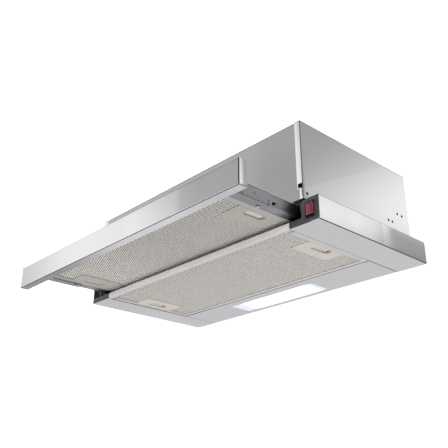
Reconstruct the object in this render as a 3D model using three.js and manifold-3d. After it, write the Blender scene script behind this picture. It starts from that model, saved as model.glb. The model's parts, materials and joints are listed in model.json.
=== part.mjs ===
// Pull out range hood of the 60 cm class, drawn with its drawer pulled out.
// Millimetres. +X is to the right seen from the front, +Y to the back and +Z up.
// The origin is the centre of the footprint, on the plane of the underside.

import * as THREE from 'three';
import { ConvexGeometry } from 'three/addons/geometries/ConvexGeometry.js';
import { mergeVertices } from 'three/addons/utils/BufferGeometryUtils.js';
import Module from 'manifold-3d';

const wasm = await Module();
wasm.setup();

// ---------------------------------------------------------------- driving sizes

// Overall
const hoodWidth = 598;
const canopyDepth = 285;
const canopyHeight = 40;
const ledgeWidth = 24.8;
const bodyHeight = 175;
const bodyProud = 3.4;
const drawerTravel = 145;
const fasciaDepth = 15.5;
const closedGap = 0.5;

// Sheet metal and moulding
const sheet = 1;
const bendRadius = 0.6;
const bendSteps = 2;
const plasticWall = 2;
const seam = 0.3;
const runningGap = 0.5;

// Canopy underside
const rearStripDepth = 85;
const openingLip = 11.6;
const crosspieceHeight = 12;
const crosspieceReturn = 6;

// Body front
const flangeWidth = 11.2;
const panelReturn = 20;
const notchHeight = 7.6;
const notchWidth = 8.6;
const notchInset = 1.4;
const notchAboveLedge = 18.4;
const topLip = 10;
const sideNotchDepth = 35;
const flangeSlit = 2.6;
const flangeSlitEnd = 1.2;
const flangeSlitFoot = 3.3;
const joggle = 0.2;
const screwHoleRadius = 2.6;

// Drawer
const runnerSpace = 15.8;
const drawerFlange = 17.9;
const drawerBottom = 15;
const drawerTop = 36;
const drawerTopReturn = 8.5;
const drawerTail = 95;
const cornerSlit = 0.6;
const reliefSlit = 1.4;
const reliefHeight = 7.8;
const drawerLip = 9;
const bracketSheet = 0.8;
const bracketLength = 83.5;
const rearBarDepth = 12;
const rearBarHeight = 14;

// Runners and guides
const runnerBottom = 17;
const runnerTop = 35;
const runnerClearance = 3;
const runnerFront = 37;
const runnerLength = 233;
const glideFront = 45;
const glideLength = 48;
const guideFront = 3;
const guideLength = 12;
const guideDrop = 16;
const guideReach = 12;

// End caps and switch
const capFlange = 2.5;
const capPlug = 17;
const capLowGap = 2.5;
const capHighGap = 6.6;
const capChamfer = 4;
const clipSlotWidth = 5;
const clipSlotHeight = 1.4;
const bezelWidth = 19;
const bezelOverlap = 1;
const bezelHeight = 27;
const bezelThickness = 1.5;
const switchFromSide = 15.8;
const switchCentreZ = 20;
const switchDepth = 24;
const rockerWidth = 14.2;
const rockerHeight = 20.6;
const rockerTurnRoom = 1;
const rockerPivotDepth = 3;
const rockerProud = 4.6;
const rockerDish = 1.6;
const rockerDepth = 9;
const bladeLength = 8;
const bladePitch = 7;
const windowInset = 4;
const windowBottom = 10.5;
const capBossRadius = 3.6;
const capBossFromSide = 16;

// Filters
const filterGap = 0.5;
const filterRise = 0.6;
const filterHeight = 8.4;
const filterFlange = 11;
const filterFrontLip = 3;
const filterBackLip = 7.5;
const meshThickness = 1.2;
const meshBorder = 4;
const meshPitchX = 31;
const meshPitchY = 22;
const meshBar = 4.2;
const frontFilterDepth = 178;
const frontFilterStart = 8;
const latchWidth = 38;
const latchLength = 86;
const latchThickness = 3;
const latchSlotWidth = 14.5;
const latchSlotLength = 40;
const latchSlotInset = 4.5;
const latchCorner = 4;
const latchTravel = 4;
const sliderThickness = 1.8;
const sliderReach = 34;
const tongueWidth = 16;
const gripBackGap = 5;
const gripFlush = 0.4;
const gripSlopeAcross = 1.2;
const gripSlopeAlong = 1.3;

// Lamp
const lampWidth = 213;
const lampDepth = 51;
const lampOffCentre = -12.5;
const lampFromBack = 38.5;
const lensFlange = 4;
const lampHousingHeight = 17;
const boardThickness = 1.6;
const chipCount = 12;
const chipSize = 4;

// Outlet and dampers
const ductRadius = 60;
const collarWall = 2;
const collarHeight = 28;
const collarFlangeRadius = 74;
const collarFlangeThickness = 2.4;
const damperHeight = 9;
const damperThickness = 1.5;
const damperStop = 3;
const damperPinRadius = 1.5;
const pinClearance = 0.2;
const knuckleRadius = 3;
const knuckleLength = 14;
const knuckleStarts = [-36.4, 5.6];
const flapClearance = 2;
const outletFromBack = 135;

// Blower
const impellerRadius = 46;
const impellerWidth = 92;
const bladeCount = 28;
const bladeDepth = 9;
const bladeThickness = 1.3;
const bladeSweep = 0.16;
const scrollStartRadius = 50;
const scrollEndRadius = 66;
const scrollWidth = 110;
const scrollAxisHeight = 105;
const tongueAngle = 75;
const inletRadius = 40;
const bellReach = 4;
const hubRadius = 10;
const shaftRadius = 4;
const motorRadius = 37;
const motorLength = 58;
const motorGap = 12;
const motorNoseRadius = 13;
const motorShoulderRadius = 29.6;
const motorLegs = 3;
const bracketArm = 8;

// Sides of round forms
const holeSteps = 8;
const pinSteps = 10;
const smallSteps = 12;
const shaftSteps = 16;
const scrollSteps = 22;
const roundSteps = 24;
const collarSteps = 36;
const flapSteps = 14;

// ---------------------------------------------------------------- places worked out

const halfHood = hoodWidth / 2;
const halfBody = halfHood - ledgeWidth;
const halfDrawer = halfBody - runnerSpace;
const halfOpening = halfDrawer - drawerFlange;
const capLowX = halfOpening + capLowGap;
const capHighX = halfDrawer + capHighGap;
const backY = (canopyDepth + closedGap + drawerTravel + fasciaDepth) / 2;
const capY = backY - canopyDepth;
const bodyFrontY = capY - bodyProud;
const fasciaFrontY = -backY;
const fasciaBackY = fasciaFrontY + fasciaDepth;
const ledgeTop = canopyHeight + seam;
const shellTop = bodyHeight - sheet - seam;
const openingBackY = backY - rearStripDepth;
const panelY = bodyFrontY + sheet + seam;

// ---------------------------------------------------------------- finishes

const finishes = {
  steel: { color: '#c6c6c9', roughness: 0.34, metalness: 0.9 },
  galvanised: { color: '#b4b6b8', roughness: 0.48, metalness: 0.85 },
  aluminium: { color: '#bab9b4', roughness: 0.45, metalness: 0.8 },
  lightEnamel: { color: '#e8e4e4', roughness: 0.4, metalness: 0.1 },
  latchPlastic: { color: '#cfc9c0', roughness: 0.5, metalness: 0 },
  darkPlastic: { color: '#37323a', roughness: 0.5, metalness: 0 },
  blackPlastic: { color: '#1c1b1f', roughness: 0.55, metalness: 0 },
  redPlastic: { color: '#b3121d', roughness: 0.25, metalness: 0 },
  whitePlastic: { color: '#eceded', roughness: 0.45, metalness: 0 },
  lens: { color: '#f7f8ff', roughness: 0.2, metalness: 0 },
  board: { color: '#e9ece6', roughness: 0.6, metalness: 0 },
};

// ---------------------------------------------------------------- solids

function toSolid(geometry) {
  const bare = geometry.clone();
  bare.deleteAttribute('normal');
  bare.deleteAttribute('uv');
  const welded = mergeVertices(bare, 1e-4);
  const vertProperties = new Float32Array(welded.attributes.position.array);
  const triVerts = new Uint32Array(welded.index.array);
  return new wasm.Manifold(new wasm.Mesh({ numProp: 3, vertProperties, triVerts }));
}

function toGeometry(solid) {
  const { vertProperties, triVerts } = solid.getMesh();
  const geometry = new THREE.BufferGeometry();
  geometry.setAttribute('position', new THREE.BufferAttribute(vertProperties, 3));
  geometry.setIndex(new THREE.BufferAttribute(triVerts, 1));
  geometry.computeVertexNormals();
  return geometry;
}

// A box between two limits on each axis, given in any order.
function block(xs, ys, zs) {
  const low = new THREE.Vector3(Math.min(...xs), Math.min(...ys), Math.min(...zs));
  const high = new THREE.Vector3(Math.max(...xs), Math.max(...ys), Math.max(...zs));
  const size = high.clone().sub(low);
  const geometry = new THREE.BoxGeometry(size.x, size.y, size.z);
  const middle = low.clone().add(high).multiplyScalar(0.5);
  geometry.translate(middle.x, middle.y, middle.z);
  return toSolid(geometry);
}

// A block whose four upright edges are rounded.
function roundedBlock(xs, ys, zs, radius) {
  const [left, right] = xs;
  const [front, back] = ys;
  const shape = new THREE.Shape();
  shape.absarc(right - radius, back - radius, radius, 0, Math.PI / 2);
  shape.absarc(left + radius, back - radius, radius, Math.PI / 2, Math.PI);
  shape.absarc(left + radius, front + radius, radius, Math.PI, 1.5 * Math.PI);
  shape.absarc(right - radius, front + radius, radius, 1.5 * Math.PI, 2 * Math.PI);
  const settings = { depth: zs[1] - zs[0], bevelEnabled: false, curveSegments: 2 };
  const geometry = new THREE.ExtrudeGeometry(shape, settings);
  geometry.translate(0, 0, zs[0]);
  return toSolid(geometry);
}

// An outline extruded along one axis; its points are in the other two axes, in the order YZ, XZ or XY.
function prism(axis, outline, from, to) {
  const shape = new THREE.Shape(outline.map(([a, b]) => new THREE.Vector2(a, b)));
  const geometry = new THREE.ExtrudeGeometry(shape, { depth: to - from, bevelEnabled: false });
  geometry.translate(0, 0, from);
  if (axis === 'x') {
    const basis = new THREE.Matrix4();
    basis.makeBasis(new THREE.Vector3(0, 1, 0), new THREE.Vector3(0, 0, 1), new THREE.Vector3(1, 0, 0));
    geometry.applyMatrix4(basis);
  }
  if (axis === 'y') {
    geometry.translate(0, 0, -from - to);
    geometry.rotateX(Math.PI / 2);
  }
  return toSolid(geometry);
}

// A turned piece: its profile is pairs of radius and height along the axis, closed on itself.
function turned(axis, profile, centre, steps = roundSteps) {
  const points = profile.map(([radius, height]) => new THREE.Vector2(radius, height));
  const geometry = new THREE.LatheGeometry(points, steps);
  if (axis === 'z') {
    geometry.rotateX(Math.PI / 2);
  }
  if (axis === 'x') {
    geometry.rotateZ(-Math.PI / 2);
  }
  geometry.translate(...centre);
  return toSolid(geometry);
}

function rod(axis, radius, from, to, centre, steps = roundSteps) {
  return turned(axis, [[0, from], [radius, from], [radius, to], [0, to]], centre, steps);
}

function ring(axis, innerRadius, outerRadius, from, to, centre, steps = roundSteps) {
  const section = [[innerRadius, from], [outerRadius, from], [outerRadius, to], [innerRadius, to]];
  return turned(axis, [...section, section[0]], centre, steps);
}

function mirrored(solid) {
  const geometry = toGeometry(solid);
  geometry.scale(-1, 1, 1);
  const index = geometry.index.array;
  for (let i = 0; i < index.length; i += 3) {
    [index[i], index[i + 1]] = [index[i + 1], index[i]];
  }
  return toSolid(geometry);
}

function turnedAbout(solid, axis, angle, centre) {
  const geometry = toGeometry(solid);
  const pivot = new THREE.Vector3(...centre);
  geometry.translate(-pivot.x, -pivot.y, -pivot.z);
  geometry.applyMatrix4(new THREE.Matrix4().makeRotationAxis(axis, angle));
  geometry.translate(pivot.x, pivot.y, pivot.z);
  return toSolid(geometry);
}

// The outline of a folded sheet: the path is its one face, and the sheet's thickness lies to the left
// of the path. Each fold is an arc about the same centre on both faces.
function foldedSheet(path, thickness) {
  const points = path.map(([a, b]) => new THREE.Vector2(a, b));
  const face = [];
  const back = [];
  const left = (direction) => new THREE.Vector2(-direction.y, direction.x);
  const along = (i) => points[i + 1].clone().sub(points[i]).normalize();
  points.forEach((corner, i) => {
    if (i === 0 || i === points.length - 1) {
      const normal = left(along(Math.min(i, points.length - 2)));
      face.push(corner);
      back.push(corner.clone().addScaledVector(normal, thickness));
      return;
    }
    const before = left(along(i - 1));
    const after = left(along(i));
    const turn = Math.sign(before.cross(after));
    const faceRadius = turn > 0 ? bendRadius + thickness : bendRadius;
    const backRadius = faceRadius - turn * thickness;
    const towards = before.clone().add(after);
    const centre = corner.clone().addScaledVector(towards, (turn * faceRadius) / (1 + before.dot(after)));
    const startAngle = before.angle();
    const sweep = Math.atan2(before.cross(after), before.dot(after));
    for (let step = 0; step <= bendSteps; step += 1) {
      const angle = startAngle + (sweep * step) / bendSteps;
      const outward = new THREE.Vector2(Math.cos(angle), Math.sin(angle)).multiplyScalar(-turn);
      face.push(centre.clone().addScaledVector(outward, faceRadius));
      back.push(centre.clone().addScaledVector(outward, backRadius));
    }
  });
  return [...face, ...back.reverse()].map((point) => [point.x, point.y]);
}

const hood = new THREE.Group();

function place(name, solid, finish) {
  const material = new THREE.MeshStandardMaterial(finishes[finish]);
  const mesh = new THREE.Mesh(toGeometry(solid), material);
  mesh.name = name;
  hood.add(mesh);
}

function placePair(name, rightSolid, finish) {
  place(`${name}_right`, rightSolid, finish);
  place(`${name}_left`, mirrored(rightSolid), finish);
}

// ---------------------------------------------------------------- body

// Screw holes of the body's sides, as places along the side and heights above the ledge.
const sideHoles = [
  { y: backY - 35.6, aboveLedge: 50.3 },
  { y: backY - 21.5, aboveLedge: 49.7 },
  { y: backY - 65, aboveLedge: 30.4 },
  { y: backY - 53.4, aboveLedge: 30.3 },
  { y: capY + 6, aboveLedge: 10 },
];

const flangeEnd = halfBody - flangeWidth;
const notchX = flangeEnd + notchInset;
const notchZ = ledgeTop + notchAboveLedge;

// The notch in a front flange; the front panel has the same opening behind it.
function flangeNotch(from, to) {
  return block([notchX, notchX + notchWidth], [from, to], [notchZ, notchZ + notchHeight]);
}

function bodyShell() {
  const wrap = [
    [flangeEnd, bodyFrontY],
    [halfBody, bodyFrontY],
    [halfBody, backY],
    [-halfBody, backY],
    [-halfBody, bodyFrontY],
    [-flangeEnd, bodyFrontY],
  ];
  const sideBottom = sheet + seam;
  let shell = prism('z', foldedSheet(wrap, sheet), sideBottom, shellTop);
  const wide = halfBody + sheet;
  shell = shell.subtract(block([-wide, wide], [bodyFrontY - sheet, capY + sideNotchDepth], [0, ledgeTop]));
  shell = shell.subtract(block([-wide, wide], [backY - sheet - seam, backY + sheet], [0, ledgeTop]));
  const notch = flangeNotch(bodyFrontY - sheet, panelY - seam);
  const slitX = notchX + notchWidth;
  const slitFoot = ledgeTop + flangeSlitFoot;
  const slitOutline = [
    [slitX - flangeSlit, notchZ + sheet],
    [slitX, notchZ + sheet],
    [slitX, slitFoot],
    [slitX - flangeSlitEnd, slitFoot],
  ];
  const slit = prism('y', slitOutline, bodyFrontY - sheet, panelY - seam);
  const jogged = block([halfBody - joggle, wide], [bodyFrontY - sheet, backY + sheet], [0, ledgeTop]);
  [notch, slit, jogged].forEach((cut) => {
    shell = shell.subtract(cut).subtract(mirrored(cut));
  });
  sideHoles.forEach((hole) => {
    const centre = [0, hole.y, ledgeTop + hole.aboveLedge];
    shell = shell.subtract(rod('x', screwHoleRadius, -wide, wide, centre, holeSteps));
  });
  return shell;
}

function frontPanel() {
  const path = [
    [panelY, shellTop],
    [panelY, ledgeTop],
    [panelY + panelReturn, ledgeTop],
  ];
  const halfPanel = halfBody - sheet - seam;
  const panel = prism('x', foldedSheet(path, sheet), -halfPanel, halfPanel);
  const opening = flangeNotch(panelY - sheet, panelY + 2 * sheet);
  return panel.subtract(opening).subtract(mirrored(opening));
}

const outletY = backY - outletFromBack;
const glandFromSide = 104;
const glandX = glandFromSide - halfBody;
const glandFromBack = 45;
const glandY = backY - glandFromBack;
const glandRadius = 8;
const glandHead = 4;
const glandCone = 8;
const glandNeck = 9;
const cableRadius = 3.5;

function topPlate() {
  const inset = sheet + seam;
  const lipFrontY = panelY + sheet + seam;
  const underside = bodyHeight - sheet;
  const plate = block([-halfBody, halfBody], [bodyFrontY, backY], [underside, bodyHeight]);
  const lipX = halfBody - inset;
  const lipBackY = backY - inset;
  const lips = block([-lipX, lipX], [lipFrontY, lipBackY], [underside - topLip, underside]);
  const inside = block(
    [-lipX + sheet, lipX - sheet],
    [lipFrontY + sheet, lipBackY - sheet],
    [underside - topLip - sheet, underside],
  );
  const outlet = rod('z', ductRadius - collarWall, -sheet, bodyHeight, [0, outletY, sheet]);
  const glandHole = rod('z', glandRadius, -sheet, bodyHeight, [glandX, glandY, sheet], smallSteps);
  const panelStep = block(
    [seam - flangeEnd, flangeEnd - seam],
    [bodyFrontY - sheet, panelY],
    [underside - sheet, bodyHeight + sheet],
  );
  return plate.subtract(panelStep).add(lips.subtract(inside)).subtract(outlet).subtract(glandHole);
}

// ---------------------------------------------------------------- canopy

function sideRail() {
  const path = [
    [halfBody + seam, canopyHeight],
    [halfHood, canopyHeight],
    [halfHood, 0],
    [halfOpening, 0],
    [halfOpening, openingLip],
  ];
  const right = foldedSheet(path.reverse(), sheet);
  const rail = prism('y', right, capY, backY);
  const backTab = block(
    [halfBody + seam, halfHood - sheet / 2],
    [backY - sheet, backY],
    [sheet / 2, canopyHeight - sheet / 2],
  );
  return rail.add(backTab).subtract(lipHole(0, rearLatchY));
}

function rearPanel() {
  const path = [
    [openingBackY, openingLip],
    [openingBackY, 0],
    [backY, 0],
    [backY, canopyHeight - seam],
  ];
  const halfPanel = halfOpening - seam;
  const panel = prism('x', foldedSheet(path, sheet), -halfPanel, halfPanel);
  return panel.subtract(lampBlock(0, -sheet, 2 * sheet));
}

function frontCrosspiece() {
  const path = [
    [capY + crosspieceReturn, crosspieceHeight],
    [capY, crosspieceHeight],
    [capY, 0],
    [capY + crosspieceReturn, 0],
  ];
  const half = halfOpening - seam;
  return prism('x', foldedSheet(path, sheet), -half, half);
}

// ---------------------------------------------------------------- lamp

const lampY = backY - lampFromBack;

// A block on the lamp's place, larger than the lamp opening by a margin on each side.
function lampBlock(margin, from, to) {
  const halfWidth = lampWidth / 2 + margin;
  const halfDepth = lampDepth / 2 + margin;
  return block(
    [lampOffCentre - halfWidth, lampOffCentre + halfWidth],
    [lampY - halfDepth, lampY + halfDepth],
    [from, to],
  );
}

const lensTop = sheet + seam + plasticWall;
const lampHousingTop = lensTop + seam + lampHousingHeight;

function lampLens() {
  const window = lampBlock(-seam, seam, lensTop);
  return window.add(lampBlock(lensFlange, sheet + seam, lensTop));
}

function lampHousing() {
  const outer = lampBlock(lensFlange, lensTop + seam, lampHousingTop);
  return outer.subtract(lampBlock(lensFlange - plasticWall, lensTop - seam, lampHousingTop - plasticWall));
}

function lampBoard() {
  const top = lampHousingTop - plasticWall - seam;
  const margin = lensFlange - plasticWall - seam;
  let board = lampBlock(margin, top - boardThickness, top);
  const pitch = lampWidth / chipCount;
  for (let i = 0; i < chipCount; i += 1) {
    const x = lampOffCentre - lampWidth / 2 + pitch * (i + 0.5);
    const chip = block(
      [x - chipSize / 2, x + chipSize / 2],
      [lampY - chipSize / 2, lampY + chipSize / 2],
      [top - boardThickness - chipSize / 4, top - boardThickness / 2],
    );
    board = board.add(chip);
  }
  return board;
}

const driverSize = new THREE.Vector3(84, 40, 22);
const driverFromOpening = 80;
const driverX = halfOpening - driverFromOpening;

function lampDriver() {
  const bottom = sheet + seam;
  const box = block(
    [driverX - driverSize.x / 2, driverX + driverSize.x / 2],
    [lampY - driverSize.y / 2, lampY + driverSize.y / 2],
    [bottom, bottom + driverSize.z],
  );
  const foot = block(
    [driverX - driverSize.x / 2 - bracketArm, driverX + driverSize.x / 2 + bracketArm],
    [lampY - bracketArm, lampY + bracketArm],
    [bottom, bottom + plasticWall],
  );
  return box.add(foot);
}

// ---------------------------------------------------------------- filter cassettes

const filterHalf = halfOpening - filterGap;
const latchOuter = filterHalf - filterFlange - seam;
const latchInner = latchOuter - latchWidth;
const slotOuter = latchOuter - latchSlotInset;
const slotInner = slotOuter - latchSlotWidth;
const sliderBase = latchThickness + seam;
const sliderWidth = latchSlotLength + 2 * plasticWall;
const tongueReach = latchTravel - sheet - filterGap;

const rearFilter = {
  bottom: filterRise,
  frontY: capY + crosspieceReturn + filterGap,
  backY: openingBackY - filterGap,
};
const rearLatchY = (rearFilter.frontY + rearFilter.backY) / 2;

const frontFilter = {
  bottom: drawerBottom + filterRise,
  frontY: fasciaBackY + frontFilterStart,
  backY: fasciaBackY + frontFilterStart + frontFilterDepth,
};
const frontLatchY = (frontFilter.frontY + frontFilter.backY) / 2;

// The hole that a latch's tongue goes through, in a lip of the canopy or of the drawer side.
function tongueHole(bottom, latchY, xs) {
  const halfWidth = tongueWidth / 2 + 2 * seam;
  const low = bottom + sliderBase - 2 * seam;
  return block(xs, [latchY - halfWidth, latchY + halfWidth], [low, low + sliderThickness + 4 * seam]);
}

function lipHole(base, latchY) {
  return tongueHole(base + filterRise, latchY, [halfOpening - sheet, halfOpening + 2 * sheet]);
}

function filterFrame(filter, latchY) {
  const { bottom, frontY } = filter;
  const outer = block([-filterHalf, filterHalf], [frontY, filter.backY], [bottom, bottom + filterHeight]);
  const tray = block(
    [-filterHalf + sheet, filterHalf - sheet],
    [frontY + sheet, filter.backY - sheet],
    [bottom + sheet, bottom + filterHeight + sheet],
  );
  const window = block(
    [-filterHalf + filterFlange, filterHalf - filterFlange],
    [frontY + filterFrontLip, filter.backY - filterBackLip],
    [bottom - sheet, bottom + 2 * sheet],
  );
  const hole = tongueHole(bottom, latchY, [filterHalf - 2 * sheet, filterHalf + sheet]);
  return outer.subtract(tray).subtract(window).subtract(hole).subtract(mirrored(hole));
}

function latchRecess(filter, latchY, margin) {
  return block(
    [latchInner - margin, latchOuter + margin],
    [latchY - latchLength / 2 - margin, latchY + latchLength / 2 + margin],
    [filter.bottom - sheet, filter.bottom + latchThickness + sheet],
  );
}

// The expanded net: a sheet with diamond gaps in staggered rows, none of them cut by an edge or a latch.
function filterMesh(filter, latchY) {
  const inset = sheet + seam;
  const low = filter.bottom + sheet + seam;
  const meshHalf = filterHalf - inset;
  const meshFront = filter.frontY + inset;
  const meshBack = filter.backY - inset;
  const limitX = filterHalf - filterFlange - meshBorder;
  const limitY = (filter.backY - filter.frontY) / 2 - filterFlange - meshBorder;
  const middleY = (filter.frontY + filter.backY) / 2;
  const halfX = meshPitchX / 2 - meshBar / 2;
  const halfY = meshPitchY / 2 - meshBar / 2;
  const columns = Math.ceil(limitX / meshPitchX) * 2;
  const rows = Math.ceil(limitY / meshPitchY) * 2;
  const diamonds = [];
  for (let row = -rows; row <= rows; row += 1) {
    for (let column = -columns; column <= columns; column += 1) {
      const x = (column * meshPitchX) / 2;
      const y = middleY + (row * meshPitchY) / 2;
      const staggered = (row + column) % 2 === 0;
      const insideSheet = Math.abs(x) + halfX < limitX && Math.abs(y - middleY) + halfY < limitY;
      const besideLatch = Math.abs(x) + halfX > latchInner - meshBorder
        && Math.abs(y - latchY) - halfY < latchLength / 2 + meshBorder;
      if (staggered && insideSheet && !besideLatch) {
        diamonds.push(new THREE.Shape([
          new THREE.Vector2(x - halfX, y),
          new THREE.Vector2(x, y - halfY),
          new THREE.Vector2(x + halfX, y),
          new THREE.Vector2(x, y + halfY),
        ]));
      }
    }
  }
  const gaps = new THREE.ExtrudeGeometry(diamonds, { depth: 3 * meshThickness, bevelEnabled: false });
  gaps.translate(0, 0, low - meshThickness);
  const recess = latchRecess(filter, latchY, seam);
  const net = block([-meshHalf, meshHalf], [meshFront, meshBack], [low, low + meshThickness]);
  return net.subtract(toSolid(gaps)).subtract(recess).subtract(mirrored(recess));
}

function latchPlate(filter, latchY) {
  const { bottom } = filter;
  const halfLength = latchLength / 2;
  const plate = roundedBlock(
    [latchInner, latchOuter],
    [latchY - halfLength, latchY + halfLength],
    [bottom, bottom + latchThickness],
    latchCorner,
  );
  const slot = roundedBlock(
    [slotInner, slotOuter],
    [latchY - latchSlotLength / 2, latchY + latchSlotLength / 2],
    [bottom - sheet, bottom + latchThickness + sheet],
    latchCorner,
  );
  const ribInner = sliderWidth / 2 + seam;
  const ribs = [-1, 1].map((side) => block(
    [latchInner, latchOuter],
    [latchY + side * ribInner, latchY + side * (ribInner + plasticWall)],
    [bottom + latchThickness / 2, bottom + sliderBase + sliderThickness],
  ));
  return plate.add(ribs[0]).add(ribs[1]).subtract(slot);
}

// The part of a slider that fills its slot: flush at the slot's front and inner edges, and deeper
// towards its outer and back edges, where a fingertip pulls it inwards.
function sliderGrip(filter, latchY) {
  const inner = slotInner + latchTravel + seam;
  const outer = slotOuter - seam;
  const front = latchY - latchSlotLength / 2 + seam;
  const back = latchY + latchSlotLength / 2 - gripBackGap;
  const top = filter.bottom + sliderBase + sliderThickness / 2;
  const corners = [];
  [0, 1].forEach((across) => {
    [0, 1].forEach((along) => {
      const x = across ? outer : inner;
      const y = along ? back : front;
      const depth = gripFlush + across * gripSlopeAcross + along * gripSlopeAlong;
      corners.push(new THREE.Vector3(x, y, filter.bottom + depth));
      corners.push(new THREE.Vector3(x, y, top));
    });
  });
  const rounded = roundedBlock(
    [inner, outer],
    [front, back + 2 * latchCorner],
    [filter.bottom, top + sheet],
    latchCorner - seam,
  );
  return toSolid(new ConvexGeometry(corners)).intersect(rounded);
}

function latchSlider(filter, latchY) {
  const low = filter.bottom + sliderBase;
  const high = low + sliderThickness;
  const tip = halfOpening + sheet + tongueReach - seam;
  const baseOuter = filterHalf - sheet - seam;
  const base = block(
    [slotOuter + seam, baseOuter - seam],
    [latchY - sliderWidth / 2, latchY + sliderWidth / 2],
    [low, high],
  );
  const cover = block(
    [baseOuter - sliderReach, slotOuter + sheet],
    [latchY - sliderWidth / 2, latchY + latchSlotLength / 2 - gripBackGap],
    [low, high],
  );
  const tongue = block(
    [baseOuter - sliderReach / 2, tip],
    [latchY - tongueWidth / 2, latchY + tongueWidth / 2],
    [low, high],
  );
  return base.add(cover).add(tongue).add(sliderGrip(filter, latchY));
}

function placeFilter(name, filter, latchY) {
  place(`${name}_filter_frame`, filterFrame(filter, latchY), 'aluminium');
  place(`${name}_filter_mesh`, filterMesh(filter, latchY), 'aluminium');
  placePair(`${name}_latch_plate`, latchPlate(filter, latchY), 'latchPlastic');
  placePair(`${name}_latch_slider`, latchSlider(filter, latchY), 'latchPlastic');
}

// ---------------------------------------------------------------- drawer

// A block as wide and high as the fascia, less an inset, with its front edges rounded.
function fasciaBlock(inset, back) {
  const radius = bendRadius + sheet - inset;
  const front = fasciaFrontY + inset;
  const half = halfHood - inset;
  const across = new THREE.Shape();
  across.moveTo(half, back);
  across.lineTo(-half, back);
  across.absarc(radius - half, front + radius, radius, Math.PI, 1.5 * Math.PI);
  across.absarc(half - radius, front + radius, radius, 1.5 * Math.PI, 2 * Math.PI);
  const upright = new THREE.Shape();
  upright.moveTo(back, inset);
  upright.lineTo(back, canopyHeight - inset);
  upright.absarc(front + radius, canopyHeight - inset - radius, radius, Math.PI / 2, Math.PI);
  upright.absarc(front + radius, inset + radius, radius, Math.PI, 1.5 * Math.PI);
  const points = (shape) => shape.extractPoints(bendSteps).shape.map((point) => [point.x, point.y]);
  const plan = prism('z', points(across), -sheet, canopyHeight + sheet);
  return plan.intersect(prism('x', points(upright), -halfHood - sheet, halfHood + sheet));
}

// The fascia is a tray: a front with folded returns, open at its lower corners.
function fascia() {
  const slit = block(
    [halfHood - 2 * sheet, halfHood + sheet],
    [fasciaFrontY + sheet + bendRadius, fasciaBackY + sheet],
    [sheet, sheet + cornerSlit],
  );
  const tray = fasciaBlock(0, fasciaBackY).subtract(fasciaBlock(sheet, fasciaBackY + sheet));
  return tray.subtract(slit).subtract(mirrored(slit));
}

const drawerFrontY = fasciaFrontY + sheet + seam;
const drawerBackY = capY + drawerTail;
const screwX = halfOpening + drawerFlange / 3;
const screwFromFascia = 73;
const screwY = fasciaBackY + screwFromFascia;
const screwRadius = 1.8;
const screwHeadRadius = 3.4;
const screwHeadThickness = 1.3;

// A three-cornered hole in the drawer's side, and two lanced marks in the corner plate before it.
const triangleFromFascia = 90.3;
const triangleAboveEdge = 7.6;
const triangleLength = 10.6;
const triangleHeight = 6.3;
const triangleY = fasciaBackY + triangleFromFascia;
const triangleTop = drawerBottom + triangleAboveEdge;
const triangleHole = [
  [triangleY, triangleTop - triangleHeight],
  [triangleY + triangleLength, triangleTop],
  [triangleY, triangleTop],
];
const lancedMarks = [
  { y: fasciaBackY + 28.5, bottom: drawerBottom + 0.6 },
  { y: fasciaBackY + 53, bottom: drawerBottom + 8 },
];
const markWidth = 6;
const markHeight = 3.6;

// A short upright slit near the corner plate's end, through the plate's fold and the drawer side.
function reliefCut(bottom) {
  const slitY = fasciaBackY + bracketLength - 2 * reliefSlit;
  return block(
    [halfDrawer - 2 * sheet, halfDrawer + 2 * sheet],
    [slitY, slitY + reliefSlit],
    [bottom, drawerBottom + reliefHeight],
  );
}

function drawerSide() {
  const path = [
    [halfOpening, drawerBottom + drawerLip],
    [halfOpening, drawerBottom],
    [halfDrawer, drawerBottom],
    [halfDrawer, drawerTop],
    [halfOpening, drawerTop],
    [halfOpening, drawerTop - drawerTopReturn],
  ];
  const side = prism('y', foldedSheet(path, sheet), drawerFrontY, drawerBackY);
  const cornerHole = prism('x', triangleHole, halfDrawer - 2 * sheet, halfDrawer + sheet);
  const relief = reliefCut(drawerBottom + 2 * sheet);
  const holes = [lipHole(drawerBottom, frontLatchY), screwHole(), cornerHole, relief];
  return holes.reduce((whole, hole) => whole.subtract(hole), side);
}

function screwHole() {
  const radius = screwRadius + seam;
  return rod('z', radius, drawerBottom - 2 * sheet, drawerBottom + 2 * sheet, [screwX, screwY, 0], holeSteps);
}

// The corner plate that joins the fascia to a drawer side, outside the side and under its flange.
function drawerBracket() {
  const gap = seam + bracketSheet;
  const path = [
    [halfOpening + sheet, drawerBottom - gap],
    [halfDrawer + gap, drawerBottom - gap],
    [halfDrawer + gap, drawerTop - sheet],
  ];
  let plate = prism('y', foldedSheet(path, bracketSheet), fasciaBackY, fasciaBackY + bracketLength);
  lancedMarks.forEach((mark) => {
    const outline = [
      [mark.y - markWidth / 2, mark.bottom],
      [mark.y + markWidth / 2, mark.bottom],
      [mark.y, mark.bottom + markHeight],
    ];
    plate = plate.subtract(prism('x', outline, halfDrawer + seam / 2, halfDrawer + gap + sheet));
  });
  return plate.subtract(screwHole()).subtract(reliefCut(drawerBottom - 2 * sheet));
}

function drawerScrew() {
  const seat = drawerBottom - seam - bracketSheet - seam;
  const centre = [screwX, screwY, 0];
  const head = rod('z', screwHeadRadius, seat - screwHeadThickness, seat, centre, smallSteps);
  const shankTop = drawerBottom + 4 * sheet;
  const shank = rod('z', screwRadius, seat - screwHeadThickness / 2, shankTop, centre, holeSteps);
  return head.add(shank);
}

function drawerRearBar() {
  const front = frontFilter.backY + filterGap;
  const path = [
    [front, drawerBottom + rearBarHeight],
    [front, drawerBottom + filterRise],
    [front + rearBarDepth, drawerBottom + filterRise],
    [front + rearBarDepth, drawerBottom + rearBarHeight],
  ];
  const half = halfOpening - seam;
  return prism('x', foldedSheet(path, sheet), -half, half);
}

// ---------------------------------------------------------------- runners and guides

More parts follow.
